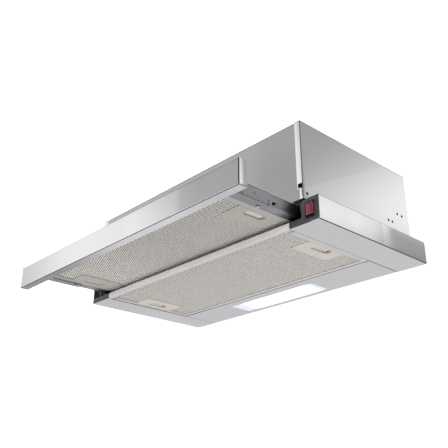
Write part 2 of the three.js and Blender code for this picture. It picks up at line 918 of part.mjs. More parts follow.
function runner() {
  const webX = halfBody - sheet - seam;
  const flangeX = halfDrawer + runnerClearance;
  const path = [
    [flangeX, runnerBottom],
    [webX, runnerBottom],
    [webX, runnerTop],
    [flangeX, runnerTop],
  ];
  const frontY = capY + runnerFront;
  return prism('y', foldedSheet(path, sheet), frontY, frontY + runnerLength);
}

function glide() {
  const webFace = halfBody - 2 * sheet - seam;
  const low = runnerBottom + sheet + runningGap;
  const high = runnerTop - sheet - runningGap;
  const frontY = capY + glideFront;
  const body = block([halfDrawer + seam, webFace - runningGap], [frontY, frontY + glideLength], [low, high]);
  const relief = (high - low) / 4;
  const pocket = block(
    [webFace - runningGap - relief, webFace],
    [frontY + glideLength / 4, frontY + (glideLength * 3) / 4],
    [low + relief, high - relief],
  );
  return body.subtract(pocket);
}

// A hook that the top of the drawer side runs under, carried by the front panel and the end cap.
function frontGuide() {
  const top = ledgeTop - seam;
  const outerX = capHighX - seam;
  const innerX = halfDrawer - guideReach;
  const armX = halfDrawer + seam + bracketSheet + runningGap;
  const hook = [
    [innerX, top],
    [innerX, drawerTop + runningGap],
    [armX, drawerTop + runningGap],
    [armX, top - guideDrop],
    [outerX, top - guideDrop],
    [outerX, top],
  ];
  return prism('y', hook, capY + guideFront, capY + guideFront + guideLength);
}

// ---------------------------------------------------------------- end caps and switch

// The outline of an end cap, which sits inside the side rail's profile, drawn inset by a wall.
function capOutline(inset) {
  const edge = sheet + seam + inset;
  const right = halfHood - edge;
  const lowLeft = capLowX + inset;
  const highLeft = capHighX + inset;
  const top = canopyHeight - edge;
  const step = openingLip - inset;
  return [
    [lowLeft, edge],
    [right, edge],
    [right, top],
    [highLeft + capChamfer, top],
    [highLeft, top - capChamfer],
    [highLeft, step],
    [lowLeft, step],
  ];
}

function capBody() {
  const plugTo = capY + capFlange + capPlug;
  const solid = prism('y', capOutline(0), capY, plugTo);
  const hollow = prism('y', capOutline(plasticWall), capY + capFlange, plugTo + sheet);
  const clipSlot = block(
    [halfDrawer, halfDrawer + clipSlotWidth],
    [capY - sheet, capY + capFlange / 2],
    [openingLip - 2 * clipSlotHeight, openingLip - clipSlotHeight],
  );
  return solid.subtract(hollow).subtract(clipSlot);
}

const switchX = halfHood - switchFromSide;

function switchBlock(width, height, from, to) {
  return block(
    [switchX - width / 2, switchX + width / 2],
    [from, to],
    [switchCentreZ - height / 2, switchCentreZ + height / 2],
  );
}

const caseWidth = bezelWidth - 2 * bezelOverlap;
const caseHeight = bezelHeight - 2 * bezelOverlap;

function endCapRight() {
  const openingWidth = caseWidth + 2 * seam;
  const openingHeight = caseHeight + 2 * seam;
  const opening = switchBlock(openingWidth, openingHeight, capY - sheet, capY + capFlange + sheet);
  return capBody().subtract(opening);
}

// The left cap carries no switch: its place is an open window, with a screw boss behind it.
function endCapLeft() {
  const windowTop = canopyHeight - windowInset;
  const window = block(
    [capHighX - sheet, halfHood - windowInset],
    [capY - sheet, capY + capFlange + sheet],
    [windowBottom, windowTop],
  );
  const bossX = halfHood - capBossFromSide;
  const bossY = capY + capFlange + capBossRadius + plasticWall;
  const floor = sheet + seam + plasticWall / 2;
  const boss = rod('z', capBossRadius, floor, canopyHeight - floor, [bossX, bossY, 0], smallSteps);
  return mirrored(capBody().subtract(window).add(boss));
}

function switchHousing() {
  const faceY = capY - seam;
  const bezel = switchBlock(bezelWidth, bezelHeight, faceY - bezelThickness, faceY);
  const shell = switchBlock(caseWidth, caseHeight, faceY - bezelThickness / 2, capY + switchDepth);
  const rockerOpening = switchBlock(
    rockerWidth + 2 * runningGap,
    caseHeight - rockerTurnRoom,
    faceY - bezelThickness - sheet,
    capY + switchDepth - plasticWall,
  );
  const blades = [-1, 0, 1].map((row) => block(
    [switchX - plasticWall, switchX + plasticWall],
    [capY + switchDepth - sheet, capY + switchDepth + bladeLength],
    [switchCentreZ + row * bladePitch - sheet / 2, switchCentreZ + row * bladePitch + sheet / 2],
  ));
  return blades.reduce((whole, blade) => whole.add(blade), bezel.add(shell).subtract(rockerOpening));
}

const rockerPivotY = capY + rockerPivotDepth;

function switchRocker() {
  const half = rockerHeight / 2;
  const frontY = capY - rockerProud;
  const dishY = frontY + rockerDish;
  const backDepth = capY + rockerDepth;
  const profile = [
    [frontY, switchCentreZ - half],
    [dishY, switchCentreZ],
    [frontY, switchCentreZ + half],
    [rockerPivotY, switchCentreZ + half - sheet],
    [backDepth, switchCentreZ + half / 2],
    [backDepth, switchCentreZ - half / 2],
    [rockerPivotY, switchCentreZ - half + sheet],
  ];
  return prism('x', profile, switchX - rockerWidth / 2, switchX + rockerWidth / 2);
}

// ---------------------------------------------------------------- outlet

const damperZ = bodyHeight + seam + damperHeight;
const pinReach = ductRadius - collarWall / 2 - seam;

// The spigot for the duct; a rim inside it stops the flaps, and its wall holds the ends of their pin.
function outletCollar() {
  const base = bodyHeight + seam;
  const bore = ductRadius - collarWall;
  const wallTop = base + collarHeight;
  const stopTop = damperZ - damperThickness / 2 - seam;
  const profile = [
    [bore - damperStop, base],
    [collarFlangeRadius, base],
    [collarFlangeRadius, base + collarFlangeThickness],
    [ductRadius, base + collarFlangeThickness],
    [ductRadius, wallTop - collarWall],
    [ductRadius - collarWall / 2, wallTop],
    [bore, wallTop],
    [bore, stopTop],
    [bore - damperStop, stopTop],
    [bore - damperStop, base],
  ];
  const pinEnd = pinReach + seam;
  const pinHole = rod('x', damperPinRadius + seam, -pinEnd, pinEnd, [0, outletY, damperZ], pinSteps);
  return turned('z', profile, [0, outletY, 0], collarSteps).subtract(pinHole);
}

function damperPin() {
  return rod('x', damperPinRadius, -pinReach, pinReach, [0, outletY, damperZ], pinSteps);
}

// One half-round flap with two knuckles on the pin; the other flap is the same piece turned round.
function damperFlap() {
  const radius = ductRadius - collarWall - flapClearance;
  const clear = knuckleRadius + seam;
  const outline = [];
  for (let i = 0; i <= flapSteps; i += 1) {
    const startAngle = Math.asin(clear / radius);
    const angle = startAngle + ((Math.PI - 2 * startAngle) * i) / flapSteps;
    outline.push([radius * Math.cos(angle), outletY + radius * Math.sin(angle)]);
  }
  const low = damperZ - damperThickness / 2;
  let flap = prism('z', outline, low, low + damperThickness);
  const centre = [0, outletY, damperZ];
  knuckleStarts.forEach((from) => {
    const eyeRadius = damperPinRadius + pinClearance;
    const eye = ring('x', eyeRadius, knuckleRadius, from, from + knuckleLength, centre, smallSteps);
    const web = block(
      [from, from + knuckleLength],
      [outletY + knuckleRadius - damperThickness / 2, outletY + clear + sheet],
      [low, low + damperThickness],
    );
    flap = flap.add(eye).add(web);
  });
  return flap;
}

function halfTurned(flap) {
  return turnedAbout(flap, new THREE.Vector3(0, 0, 1), Math.PI, [0, outletY, 0]);
}

// ---------------------------------------------------------------- blower

const tongueY = scrollStartRadius * Math.cos(THREE.MathUtils.degToRad(tongueAngle));
const axisY = outletY - (scrollEndRadius + tongueY) / 2;
const axisZ = scrollAxisHeight;
const scrollTop = bodyHeight - sheet - seam;

// The scroll's outline, a spiral that grows from the tongue round to the outlet, drawn inset by a wall.
function scrollOutline(inset, top) {
  const start = THREE.MathUtils.degToRad(tongueAngle);
  const end = 2 * Math.PI;
  const outline = [];
  for (let i = 0; i <= scrollSteps; i += 1) {
    const angle = start + ((end - start) * i) / scrollSteps;
    const growth = (scrollEndRadius - scrollStartRadius) * (i / scrollSteps);
    const radius = scrollStartRadius + growth - inset;
    outline.push([axisY + radius * Math.cos(angle), axisZ + radius * Math.sin(angle)]);
  }
  outline.push([axisY + scrollEndRadius - inset, top]);
  outline.push([axisY + tongueY + inset, top]);
  return outline;
}

function blowerHalf() {
  const halfWidth = scrollWidth / 2;
  const outer = prism('x', scrollOutline(0, scrollTop), seam / 2, halfWidth);
  const inner = prism('x', scrollOutline(plasticWall, scrollTop + sheet), 0, halfWidth - plasticWall);
  const centre = [0, axisY, axisZ];
  const inlet = rod('x', inletRadius, halfWidth - 2 * plasticWall, halfWidth + sheet, centre);
  const bellFrom = halfWidth - plasticWall;
  const bell = ring('x', inletRadius, inletRadius + plasticWall, bellFrom, halfWidth + bellReach, centre);
  const flangeReach = ductRadius + sheet + plasticWall;
  const flange = block(
    [seam / 2, flangeReach],
    [outletY - flangeReach, outletY + flangeReach],
    [scrollTop - plasticWall, scrollTop],
  );
  return outer.add(flange).subtract(inner).subtract(inlet).add(bell);
}

function blade() {
  const middle = impellerRadius - bladeDepth / 2;
  const halfDepth = bladeDepth / 2;
  const halfThick = bladeThickness / 2;
  const sweep = bladeSweep * bladeDepth;
  const profile = [
    [axisY - sweep - halfThick, axisZ + middle - halfDepth],
    [axisY - sweep + halfThick, axisZ + middle - halfDepth],
    [axisY + halfThick, axisZ + middle],
    [axisY + 2 * sweep + halfThick, axisZ + middle + halfDepth],
    [axisY + 2 * sweep - halfThick, axisZ + middle + halfDepth],
    [axisY - halfThick, axisZ + middle],
  ];
  return prism('x', profile, -impellerWidth / 2, impellerWidth / 2);
}

function impeller() {
  const centre = [0, axisY, axisZ];
  const axis = new THREE.Vector3(1, 0, 0);
  const oneBlade = blade();
  const ringInner = impellerRadius - bladeDepth / 3;
  const ringOuter = impellerRadius + bladeThickness;
  const half = impellerWidth / 2;
  let wheel = rod('x', ringOuter, -sheet, sheet, centre);
  wheel = wheel.add(ring('x', ringInner, ringOuter, half - 2 * sheet, half + sheet, centre));
  wheel = wheel.add(ring('x', ringInner, ringOuter, -half - sheet, -half + 2 * sheet, centre));
  for (let i = 0; i < bladeCount; i += 1) {
    wheel = wheel.add(turnedAbout(oneBlade, axis, (2 * Math.PI * i) / bladeCount, centre));
  }
  const hub = rod('x', hubRadius, -hubRadius, hubRadius, centre, shaftSteps);
  const bore = rod('x', shaftRadius + seam, -2 * hubRadius, 2 * hubRadius, centre, shaftSteps);
  return wheel.add(hub).subtract(bore);
}

const motorFace = scrollWidth / 2 + motorGap;

function motorShaft() {
  const centre = [0, axisY, axisZ];
  return rod('x', shaftRadius, -hubRadius - 2 * sheet, motorFace + motorLength / 2, centre, shaftSteps);
}

function motor() {
  const bell = motorLength / 5;
  const profile = [
    [0, motorFace],
    [motorNoseRadius, motorFace],
    [motorNoseRadius, motorFace + bell / 2],
    [motorShoulderRadius, motorFace + bell],
    [motorRadius, motorFace + bell],
    [motorRadius, motorFace + motorLength - bell],
    [motorShoulderRadius, motorFace + motorLength - bell],
    [motorNoseRadius, motorFace + motorLength],
    [0, motorFace + motorLength],
  ];
  const centre = [0, axisY, axisZ];
  const boreEnd = motorFace + motorLength / 2 + seam;
  const bore = rod('x', shaftRadius + seam, motorFace - sheet, boreEnd, centre, shaftSteps);
  return turned('x', profile, centre).subtract(bore);
}

function motorBracket() {
  const centre = [0, axisY, axisZ];
  const ringX = motorFace + motorLength / 2;
  const inner = motorRadius + seam;
  const reach = inletRadius + plasticWall + bracketArm;
  const scrollFace = scrollWidth / 2 + seam;
  let bracket = ring('x', inner, inner + plasticWall, ringX - bracketArm, ringX + bracketArm, centre);
  for (let i = 0; i < motorLegs; i += 1) {
    const radial = block(
      [ringX - plasticWall, ringX],
      [axisY - bracketArm / 2, axisY + bracketArm / 2],
      [axisZ + inner + sheet / 2, axisZ + reach],
    );
    const leg = block(
      [scrollFace, ringX],
      [axisY - bracketArm / 2, axisY + bracketArm / 2],
      [axisZ + reach - plasticWall, axisZ + reach],
    );
    const angle = (2 * Math.PI * (i + 0.5)) / motorLegs;
    bracket = bracket.add(turnedAbout(radial.add(leg), new THREE.Vector3(1, 0, 0), angle, centre));
  }
  return bracket;
}

// ---------------------------------------------------------------- electrics

const hangTop = bodyHeight - sheet - seam;
const boxSize = new THREE.Vector3(92, 62, 34);

function terminalBox() {
  const centreY = glandY - bracketArm / 2;
  const box = block(
    [glandX - boxSize.x / 2, glandX + boxSize.x / 2],
    [centreY - boxSize.y / 2, centreY + boxSize.y / 2],
    [hangTop - boxSize.z, hangTop],
  );
  const entry = rod('z', glandRadius + seam, -boxSize.z / 2, sheet, [glandX, glandY, hangTop], smallSteps);
  return box.subtract(entry);
}

function cableGland() {
  const headRadius = glandRadius + plasticWall;
  const neck = glandRadius - seam;
  const base = bodyHeight + seam;
  const bottom = base - glandNeck;
  const top = base + glandHead + glandCone;
  const profile = [
    [0, bottom],
    [neck, bottom],
    [neck, base],
    [headRadius, base],
    [headRadius, base + glandHead],
    [glandRadius, top],
    [0, top],
  ];
  const gland = turned('z', profile, [glandX, glandY, 0], smallSteps);
  const bore = rod('z', cableRadius, bottom - sheet, top + sheet, [glandX, glandY, 0], holeSteps);
  return gland.subtract(bore);
}

const capacitorRadius = 14;
const capacitorLength = 52;
const capacitorFromSide = 104;
const capacitorX = halfBody - capacitorFromSide;
const capacitorFromBack = 60;

function capacitor() {
  const centre = [capacitorX, backY - capacitorFromBack, hangTop - capacitorRadius - plasticWall];
  const can = rod('x', capacitorRadius, -capacitorLength / 2, capacitorLength / 2, centre, shaftSteps);
  const clip = block(
    [centre[0] - bracketArm, centre[0] + bracketArm],
    [centre[1] - capacitorRadius - plasticWall, centre[1] + capacitorRadius + plasticWall],
    [centre[2], hangTop],
  );
  return can.add(clip);
}

// ---------------------------------------------------------------- the hood

place('body_shell', bodyShell(), 'steel');
place('front_panel', frontPanel(), 'steel');
place('top_plate', topPlate(), 'galvanised');
placePair('side_rail', sideRail(), 'steel');
place('rear_panel', rearPanel(), 'steel');
place('front_crosspiece', frontCrosspiece(), 'lightEnamel');
place('end_cap_right', endCapRight(), 'darkPlastic');
place('end_cap_left', endCapLeft(), 'darkPlastic');
placePair('front_guide', frontGuide(), 'blackPlastic');
place('switch_housing', switchHousing(), 'blackPlastic');
place('switch_rocker', switchRocker(), 'redPlastic');
place('lamp_lens', lampLens(), 'lens');
place('lamp_housing', lampHousing(), 'whitePlastic');
place('lamp_board', lampBoard(), 'board');
place('lamp_driver', lampDriver(), 'whitePlastic');
placeFilter('rear', rearFilter, rearLatchY);
placeFilter('front', frontFilter, frontLatchY);
place('fascia', fascia(), 'steel');
placePair('drawer_side', drawerSide(), 'steel');
placePair('drawer_bracket', drawerBracket(), 'steel');
placePair('drawer_screw', drawerScrew(), 'galvanised');
place('drawer_rear_bar', drawerRearBar(), 'galvanised');
placePair('runner', runner(), 'galvanised');
placePair('glide', glide(), 'whitePlastic');
place('outlet_collar', outletCollar(), 'blackPlastic');
place('damper_pin', damperPin(), 'galvanised');
place('damper_flap_rear', damperFlap(), 'blackPlastic');
place('damper_flap_front', halfTurned(damperFlap()), 'blackPlastic');
place('blower_half_right', blowerHalf(), 'darkPlastic');
place('blower_half_left', mirrored(blowerHalf()), 'darkPlastic');
place('impeller', impeller(), 'whitePlastic');
place('motor_shaft', motorShaft(), 'steel');
place('motor', motor(), 'galvanised');
place('motor_bracket', motorBracket(), 'galvanised');
place('terminal_box', terminalBox(), 'whitePlastic');
place('cable_gland', cableGland(), 'blackPlastic');
place('capacitor', capacitor(), 'whitePlastic');

export default hood;
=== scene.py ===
"""Dresses the pull out range hood: the finishes of its steel, filters, plastics and lamp, and its nets."""

import json
import math

import bmesh
import bpy
from bpy.props import FloatProperty, FloatVectorProperty, PointerProperty
from mathutils import Matrix, Vector, noise


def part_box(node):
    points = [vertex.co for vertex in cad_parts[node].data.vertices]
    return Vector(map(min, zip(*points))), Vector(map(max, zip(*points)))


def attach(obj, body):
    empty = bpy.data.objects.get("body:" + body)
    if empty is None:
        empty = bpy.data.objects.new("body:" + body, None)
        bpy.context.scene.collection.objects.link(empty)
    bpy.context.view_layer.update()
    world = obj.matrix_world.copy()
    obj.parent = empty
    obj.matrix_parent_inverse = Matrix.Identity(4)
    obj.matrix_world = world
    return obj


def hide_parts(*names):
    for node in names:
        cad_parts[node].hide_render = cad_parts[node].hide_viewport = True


bl_info = {
    "name": "Pull Out Range Hood",
    "version": (1, 0, 0),
    "blender": (4, 5, 0),
    "location": "3D View > Sidebar > Range Hood",
    "description": "Builds the finishes and the filter nets of a pull out range hood",
    "category": "Object",
}

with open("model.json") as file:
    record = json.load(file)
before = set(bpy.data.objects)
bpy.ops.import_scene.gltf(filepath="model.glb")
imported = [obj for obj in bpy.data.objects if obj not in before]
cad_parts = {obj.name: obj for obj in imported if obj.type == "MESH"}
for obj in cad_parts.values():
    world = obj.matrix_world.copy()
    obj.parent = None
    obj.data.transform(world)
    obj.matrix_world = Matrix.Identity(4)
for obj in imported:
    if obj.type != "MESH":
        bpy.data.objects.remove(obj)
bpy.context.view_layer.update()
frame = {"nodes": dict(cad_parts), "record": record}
MM = 0.001
SIDES = ("right", "left")
FILTERS = {"rear": "body", "front": "drawer"}

# Where the steel's bumps lean it and where its painted reflections and shades change; the rail's lean is
# measured from the rail's front end
RAIL_LEAN_START = 100 * MM
RAIL_LEAN_END = 215 * MM
RAIL_STEP = (112 * MM, 127 * MM)
FASCIA_STEP = (166 * MM, 184 * MM)
PANEL_BOW_X = 100 * MM
PANEL_SHADED_END = (140 * MM, 215 * MM)
UNDER_NOTCH = 58 * MM
SIDE_FIELD_SLOPE = 0.5335
SIDE_FIELD_HEIGHT = 87.9 * MM
RIGHT_HALF = (0.0, 10 * MM)
FLANGE_WIDTH = 11.2 * MM

# Tones, colours and grains that no setting changes; the gap colour, the fold tone and the front cassette's
# tone are painted shade, and the end glow is the lamp's
PAINTED_GAP_SHADE = (0.012, 0.01, 0.014)
END_GLOW = (0.4, 0.42, 0.47)
PAINTED_FOLD_SHADE = 0.08
FRONT_CASSETTE_PAINTED_SHADE = 0.76
DRAWER_ROUGHNESS = 0.36
DRAWER_FOLD_SHARE = 0.2
CASSETTE_GRAIN = 500.0
GRAIN_ACROSS = 1100.0
GRAIN_ALONG = 16.0
GRAIN_DEPTH = 0.003 * MM
FINE_DEPTH = 0.3 * MM
FIBRE_DEPTH = 0.8 * MM

# The nets and the mats behind them
NET_THICKNESS = 0.3 * MM
NET_KNOT = 0.25 * MM
LATCH_MARGIN = 0.3 * MM
FLEECE_CELLS = (96, 38)
FLEECE_DROP = 0.25 * MM
FLEECE_THICKNESS = 0.25 * MM
FLEECE_WAVE = 0.1 * MM
FLEECE_WAVES_PER_METRE = 60.0
CUT_TOLERANCE = 0.01 * MM

# The edges of the sheet metal and the mouldings
WELD_DISTANCE = 0.002 * MM
FLAT_ANGLE = math.radians(0.3)
SHARP_DEGREES = 50.0
MOULDING_RADIUS = 0.35 * MM
ROCKER_RADIUS = 0.9 * MM
ROCKER_SHARP_DEGREES = 20.0
LENS_RADIUS = 0.5 * MM
SHEET_PIECES = (
    "fascia", "body_shell", "front_panel", "top_plate", "rear_panel", "front_crosspiece", "drawer_rear_bar")
SIDE_SHEET_PIECES = ("side_rail", "drawer_side", "drawer_bracket", "drawer_screw", "runner")
MOULDED_PIECES = ("end_cap_right", "end_cap_left", "front_guide_right", "front_guide_left", "switch_housing")

# The studio: its floor with painted shade towards its edge and its left, and the brightness of its walls;
# FLOOR_FADE is in square metres
FLOOR_RADIUS = 9.0
FLOOR_SIDES = 96
FLOOR_FADE = (3.2, 7.8)
FLOOR_LEFT_FADE = (3.2, 4.0)
SENSOR_WIDTH = 36.0
ROOM_LIGHT = 0.45
LEFT_LIGHT = 0.68
BEHIND_LIGHT = 0.7
RIGHT_GLOW = 0.78
RIGHT_LOW_SHADE = 0.35
ABOVE_LIGHT = 0.8
STEP_LIGHT = 0.05


# ------------------------------------------------------------------ shader helpers


class Value:
    """A shader socket that works in Python expressions."""

    def __init__(self, nodes, socket):
        self.nodes = nodes
        self.socket = socket

    def _math(self, operation, *operands):
        return self.nodes.node("ShaderNodeMath", {"operation": operation}, dict(enumerate(operands)))

    def __add__(self, other):
        return self._math("ADD", self, other)

    __radd__ = __add__

    def __sub__(self, other):
        return self._math("SUBTRACT", self, other)

    def __rsub__(self, other):
        return self._math("SUBTRACT", other, self)

    def __mul__(self, other):
        return self._math("MULTIPLY", self, other)

    __rmul__ = __mul__

    def __neg__(self):
        return self * -1.0

    def ramp(self, low, high):
        """0 below one value and 1 above another, with a smooth step between."""
        smooth = {"interpolation_type": "SMOOTHSTEP"}
        inputs = {"Value": self, "From Min": low, "From Max": high}
        return self.nodes.node("ShaderNodeMapRange", smooth, inputs)


class Nodes:
    """A node tree that grows by one method."""

    def __init__(self, tree):
        self.tree = tree

    def node(self, kind, choices=None, inputs=None, output=0):
        """Adds a node: its choices first, then the values or links of its sockets."""
        node = self.tree.nodes.new(kind)
        for name, value in (choices or {}).items():
            setattr(node, name, value)
        for name, value in (inputs or {}).items():
            self.feed(node.inputs[name], value)
        return Value(self, node.outputs[output])

    def feed(self, socket, value):
        """Links a value to a socket, or sets the socket to a plain value."""
        if isinstance(value, Value):
            self.tree.links.new(value.socket, socket)
        else:
            socket.default_value = value

    def parts(self, vector):
        """The X, Y and Z of a vector."""
        split = self.tree.nodes.new("ShaderNodeSeparateXYZ")
        self.feed(split.inputs[0], vector)
        return [Value(self, output) for output in split.outputs]

    def blend(self, factor, first, second):
        """A mix of two colours."""
        return self.node("ShaderNodeMix", {"data_type": "RGBA"}, {0: factor, 6: first, 7: second}, output=2)


class Finish(Nodes):
    """A procedural material around one Principled shader."""

    def __init__(self, name, **fixed):
        self.material = bpy.data.materials.new(name)
        self.material.use_nodes = True
        super().__init__(self.material.node_tree)
        self.shader = self.tree.nodes["Principled BSDF"]
        self.out(**fixed)

    def out(self, **values):
        """Feeds the shader's sockets, named with low lines for their spaces."""
        for name, value in values.items():
            self.feed(self.shader.inputs[name.replace("_", " ")], value)

    def place(self, scale=(1.0, 1.0, 1.0), turn=(0.0, 0.0, 0.0)):
        """The place on the piece in metres, stretched and turned."""
        coordinates = self.node("ShaderNodeTexCoord", output="Object")
        return self.node("ShaderNodeMapping", {}, {"Vector": coordinates, "Scale": scale, "Rotation": turn})

    def noise(self, place, scale, detail=3.0, roughness=0.55):
        """Cloudy values round a half."""
        inputs = {"Vector": place, "Scale": scale, "Detail": detail, "Roughness": roughness}
        return self.node("ShaderNodeTexNoise", {}, inputs)

    def bump(self, height, strength, distance):
        """A normal that follows a height."""
        return self.node("ShaderNodeBump", {}, {"Height": height, "Strength": strength, "Distance": distance})


def tone(colour, amount=1.0):
    """A colour made lighter or darker, with its alpha."""
    return tuple(min(1.0, part * amount) for part in colour[:3]) + (1.0,)


def settings():
    """The values that the panel's user can change."""
    return bpy.context.scene.range_hood


# ------------------------------------------------------------------ finishes


def folds(finish):
    """0 on faces that are square to the hood's axes and near 1 in the middle of a fold."""
    normal = finish.node("ShaderNodeNewGeometry", output=1)
    squares = [part * part for part in finish.parts(normal)]
    flatness = squares[0] * squares[0] + squares[1] * squares[1] + squares[2] * squares[2]
    return (1 - flatness).ramp(0.05, 0.4)


def steel_finish(name, grain, colour, roughness, warp=None, painted_light=None, fold=1.0):
    """Satin stainless steel, brushed along one axis.

    Its folds get painted shade in the base colour for the dark that they reflect. A warp leans its faces a
    little, and its painted light is a list of pairs of a mask and the tone that the steel takes there, for
    painted shades, highlights and reflections.
    """
    finish = Finish(name, Metallic=1.0)
    stretch = [GRAIN_ACROSS] * 3
    stretch["XYZ".index(grain)] = GRAIN_ALONG
    streaks = finish.noise(finish.place(stretch), 1.0, 4.0)
    cloud = finish.noise(finish.place(), 7.0, 2.0)
    brushed = finish.blend(streaks, tone(colour, 0.97), tone(colour, 1.025))
    shown = finish.blend(cloud, brushed, tone(colour))
    # painted light: each mask takes the colour to a lighter or darker tone
    for painted_mask, amount in painted_light(finish) if painted_light else ():
        shown = finish.blend(painted_mask, shown, tone(colour, amount))
    height = streaks * GRAIN_DEPTH
    if warp:
        height = height + warp(finish)
    # painted shade: the folds are darkened in the base colour for the dark that they reflect
    painted_fold = folds(finish) * (settings().fold_shade * fold)
    finish.out(
        Base_Color=finish.blend(painted_fold, shown, tone(colour, PAINTED_FOLD_SHADE)),
        Roughness=roughness - 0.02 + streaks * 0.03 + cloud * 0.02,
        Normal=finish.bump(height, 1.0, 1.0),
    )
    return finish.material


def rail_warp(finish):
    """The slight lean of a side rail's outer face behind its middle."""
    _, along, up = finish.parts(finish.place())
    low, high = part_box("side_rail_right")
    lean = along.ramp(low.y + RAIL_LEAN_START, low.y + RAIL_LEAN_END)
    return lean * (up - high.z / 2) * settings().rail_lean - (along - low.y) * settings().rail_taper


def flange_warp(finish):
    """The outward lean of the body's right front flange."""
    across, along, _ = finish.parts(finish.place())
    low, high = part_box("body_shell")
    on_front = 1 - along.ramp(low.y + 0.5 * MM, low.y + 1.0 * MM)
    beyond = across - (high.x - FLANGE_WIDTH)
    return on_front * across.ramp(*RIGHT_HALF) * beyond * settings().flange_lean


def panel_warp(finish):
    """The shallow bow of the front panel about an upright line right of its middle."""
    across, _, _ = finish.parts(finish.place())
    beside = across - PANEL_BOW_X
    return beside * beside * settings().panel_bow * 0.5


def fascia_warp(finish):
    """The roll of the fascia's two short sides towards their front edges."""
    _, along, up = finish.parts(finish.place())
    low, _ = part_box("fascia")
    near_front = 1 - along.ramp(low.y - 10 * MM, low.y + 10 * MM)
    return near_front * up.ramp(0.5 * MM, 1.5 * MM) * settings().fascia_roll


def fascia_painted_light(finish):
    """Painted light on the fascia: painted shade at its darker ends, a painted reflection step before the
    right one, painted tones on its underside and painted lines of shade and highlight along its edges.
    """
    across, along, up = finish.parts(finish.place())
    low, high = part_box("fascia")
    front = 1 - along.ramp(low.y + 0.3 * MM, low.y + 0.8 * MM)
    under = 1 - up.ramp(0.3 * MM, 0.8 * MM)
    upright = 1 - under
    step = across.ramp(*FASCIA_STEP)
    left_underside = under * (1 - across.ramp(low.x + 120 * MM, low.x + 360 * MM))
    right_underside = under * across.ramp(high.x - 170 * MM, high.x - 30 * MM)
    left_end = upright * (1 - across.ramp(low.x, low.x + 190 * MM))
    before_step = upright * across.ramp(20 * MM, 70 * MM) * (1 - step)
    after_step = upright * step * (1 - across.ramp(210 * MM, 260 * MM))
    bottom_line = front * (1 - up.ramp(2.0 * MM, 2.6 * MM))
    top_line = front * up.ramp(high.z - 2.0 * MM, high.z - 1.6 * MM)
    right_line = front * across.ramp(high.x - 1.8 * MM, high.x - 1.3 * MM)
    return (
        (under * (1 - front), 1.18),
        (left_underside, 0.48),
        (right_underside, 0.86),
        (left_end, 0.76),
        (before_step, 1.08),
        (after_step, 0.92),
        (bottom_line, 1.2),
        (top_line, 0.4),
        (right_line, 0.1),
    )


def rail_painted_light(finish):
    """Painted light on a side rail's outside: a painted reflection that pales its front end and steps towards
    its darker rear, and painted shade in the gaps at its front and bottom edges.
    """
    across, along, up = finish.parts(finish.place())
    low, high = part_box("side_rail_right")
    outside = (across * across).ramp((high.x - 0.7 * MM) ** 2, (high.x - 0.3 * MM) ** 2)
    step = along.ramp(*RAIL_STEP)
    before_step = along.ramp(93 * MM, 103 * MM)
    lit_front = 1 - along.ramp(low.y + 5 * MM, low.y + 70 * MM)
    shaded_middle = along.ramp(25 * MM, 55 * MM) * (1 - before_step)
    shaded_rear = step * up.ramp(10 * MM, 30 * MM)
    front_gap = 1 - along.ramp(low.y + 0.9 * MM, low.y + 1.5 * MM)
    bottom_gap = 1 - up.ramp(1.0 * MM, 1.6 * MM)
    return (
        (outside * lit_front, 1.13),
        (outside * shaded_middle, 0.92),
        (outside * before_step * (1 - step), 1.13),
        (outside * shaded_rear, 0.84),
        (outside * front_gap, 0.08),
        (outside * bottom_gap, 0.1),
    )


def body_painted_light(finish):
    """Painted reflection: a broad darker field over a slanting line on the body's side; and painted shade
    under the notch of its right front flange.
    """
    across, along, up = finish.parts(finish.place())
    low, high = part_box("body_shell")
    outside = across.ramp(high.x - 0.5 * MM, high.x - 0.3 * MM)
    slant = up - along * SIDE_FIELD_SLOPE
    field = outside * slant.ramp(SIDE_FIELD_HEIGHT, SIDE_FIELD_HEIGHT + 5 * MM)
    on_front = 1 - along.ramp(low.y + 0.5 * MM, low.y + 1.0 * MM)
    right_flange = on_front * across.ramp(*RIGHT_HALF)
    under_notch = 1 - up.ramp(UNDER_NOTCH - 1 * MM, UNDER_NOTCH)
    inner_part = 1 - across.ramp(high.x - 9.0 * MM, high.x - 4.0 * MM)
    return ((field, 0.94), (right_flange * under_notch * inner_part, 0.35))


def panel_painted_light(finish):
    """Painted reflections on the front panel: a paler middle and a darker right end below its top."""
    across, _, up = finish.parts(finish.place())
    _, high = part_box("front_panel")
    shaded_end = across.ramp(*PANEL_SHADED_END)
    below_top = 1 - up.ramp(0.55 * high.z, 0.95 * high.z)
    return ((1 - shaded_end, 1.12), (shaded_end * below_top, 0.93))


def drawer_painted_light(finish):
    """Painted light on a drawer side: a painted highlight on its top lip and a painted dark line under it,
    painted shade on its underside and its rear, and painted shade near the end cap where it reflects the dark
    cap.
    """
    _, along, up = finish.parts(finish.place())
    low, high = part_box("drawer_side_right")
    cap_low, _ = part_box("end_cap_right")
    under = 1 - up.ramp(low.z + 0.2 * MM, low.z + 0.6 * MM)
    shaded_rear = along.ramp(low.y + 90 * MM, low.y + 135 * MM)
    near_cap = along.ramp(cap_low.y - 40 * MM, cap_low.y - 12 * MM)
    lip = up.ramp(high.z - 1.8 * MM, high.z - 1.6 * MM)
    under_lip = up.ramp(high.z - 3.0 * MM, high.z - 2.7 * MM) * (1 - lip)
    return ((under, 0.66), (shaded_rear, 0.8), (near_cap, 0.12), (under_lip, 0.3), (lip, 2.0))


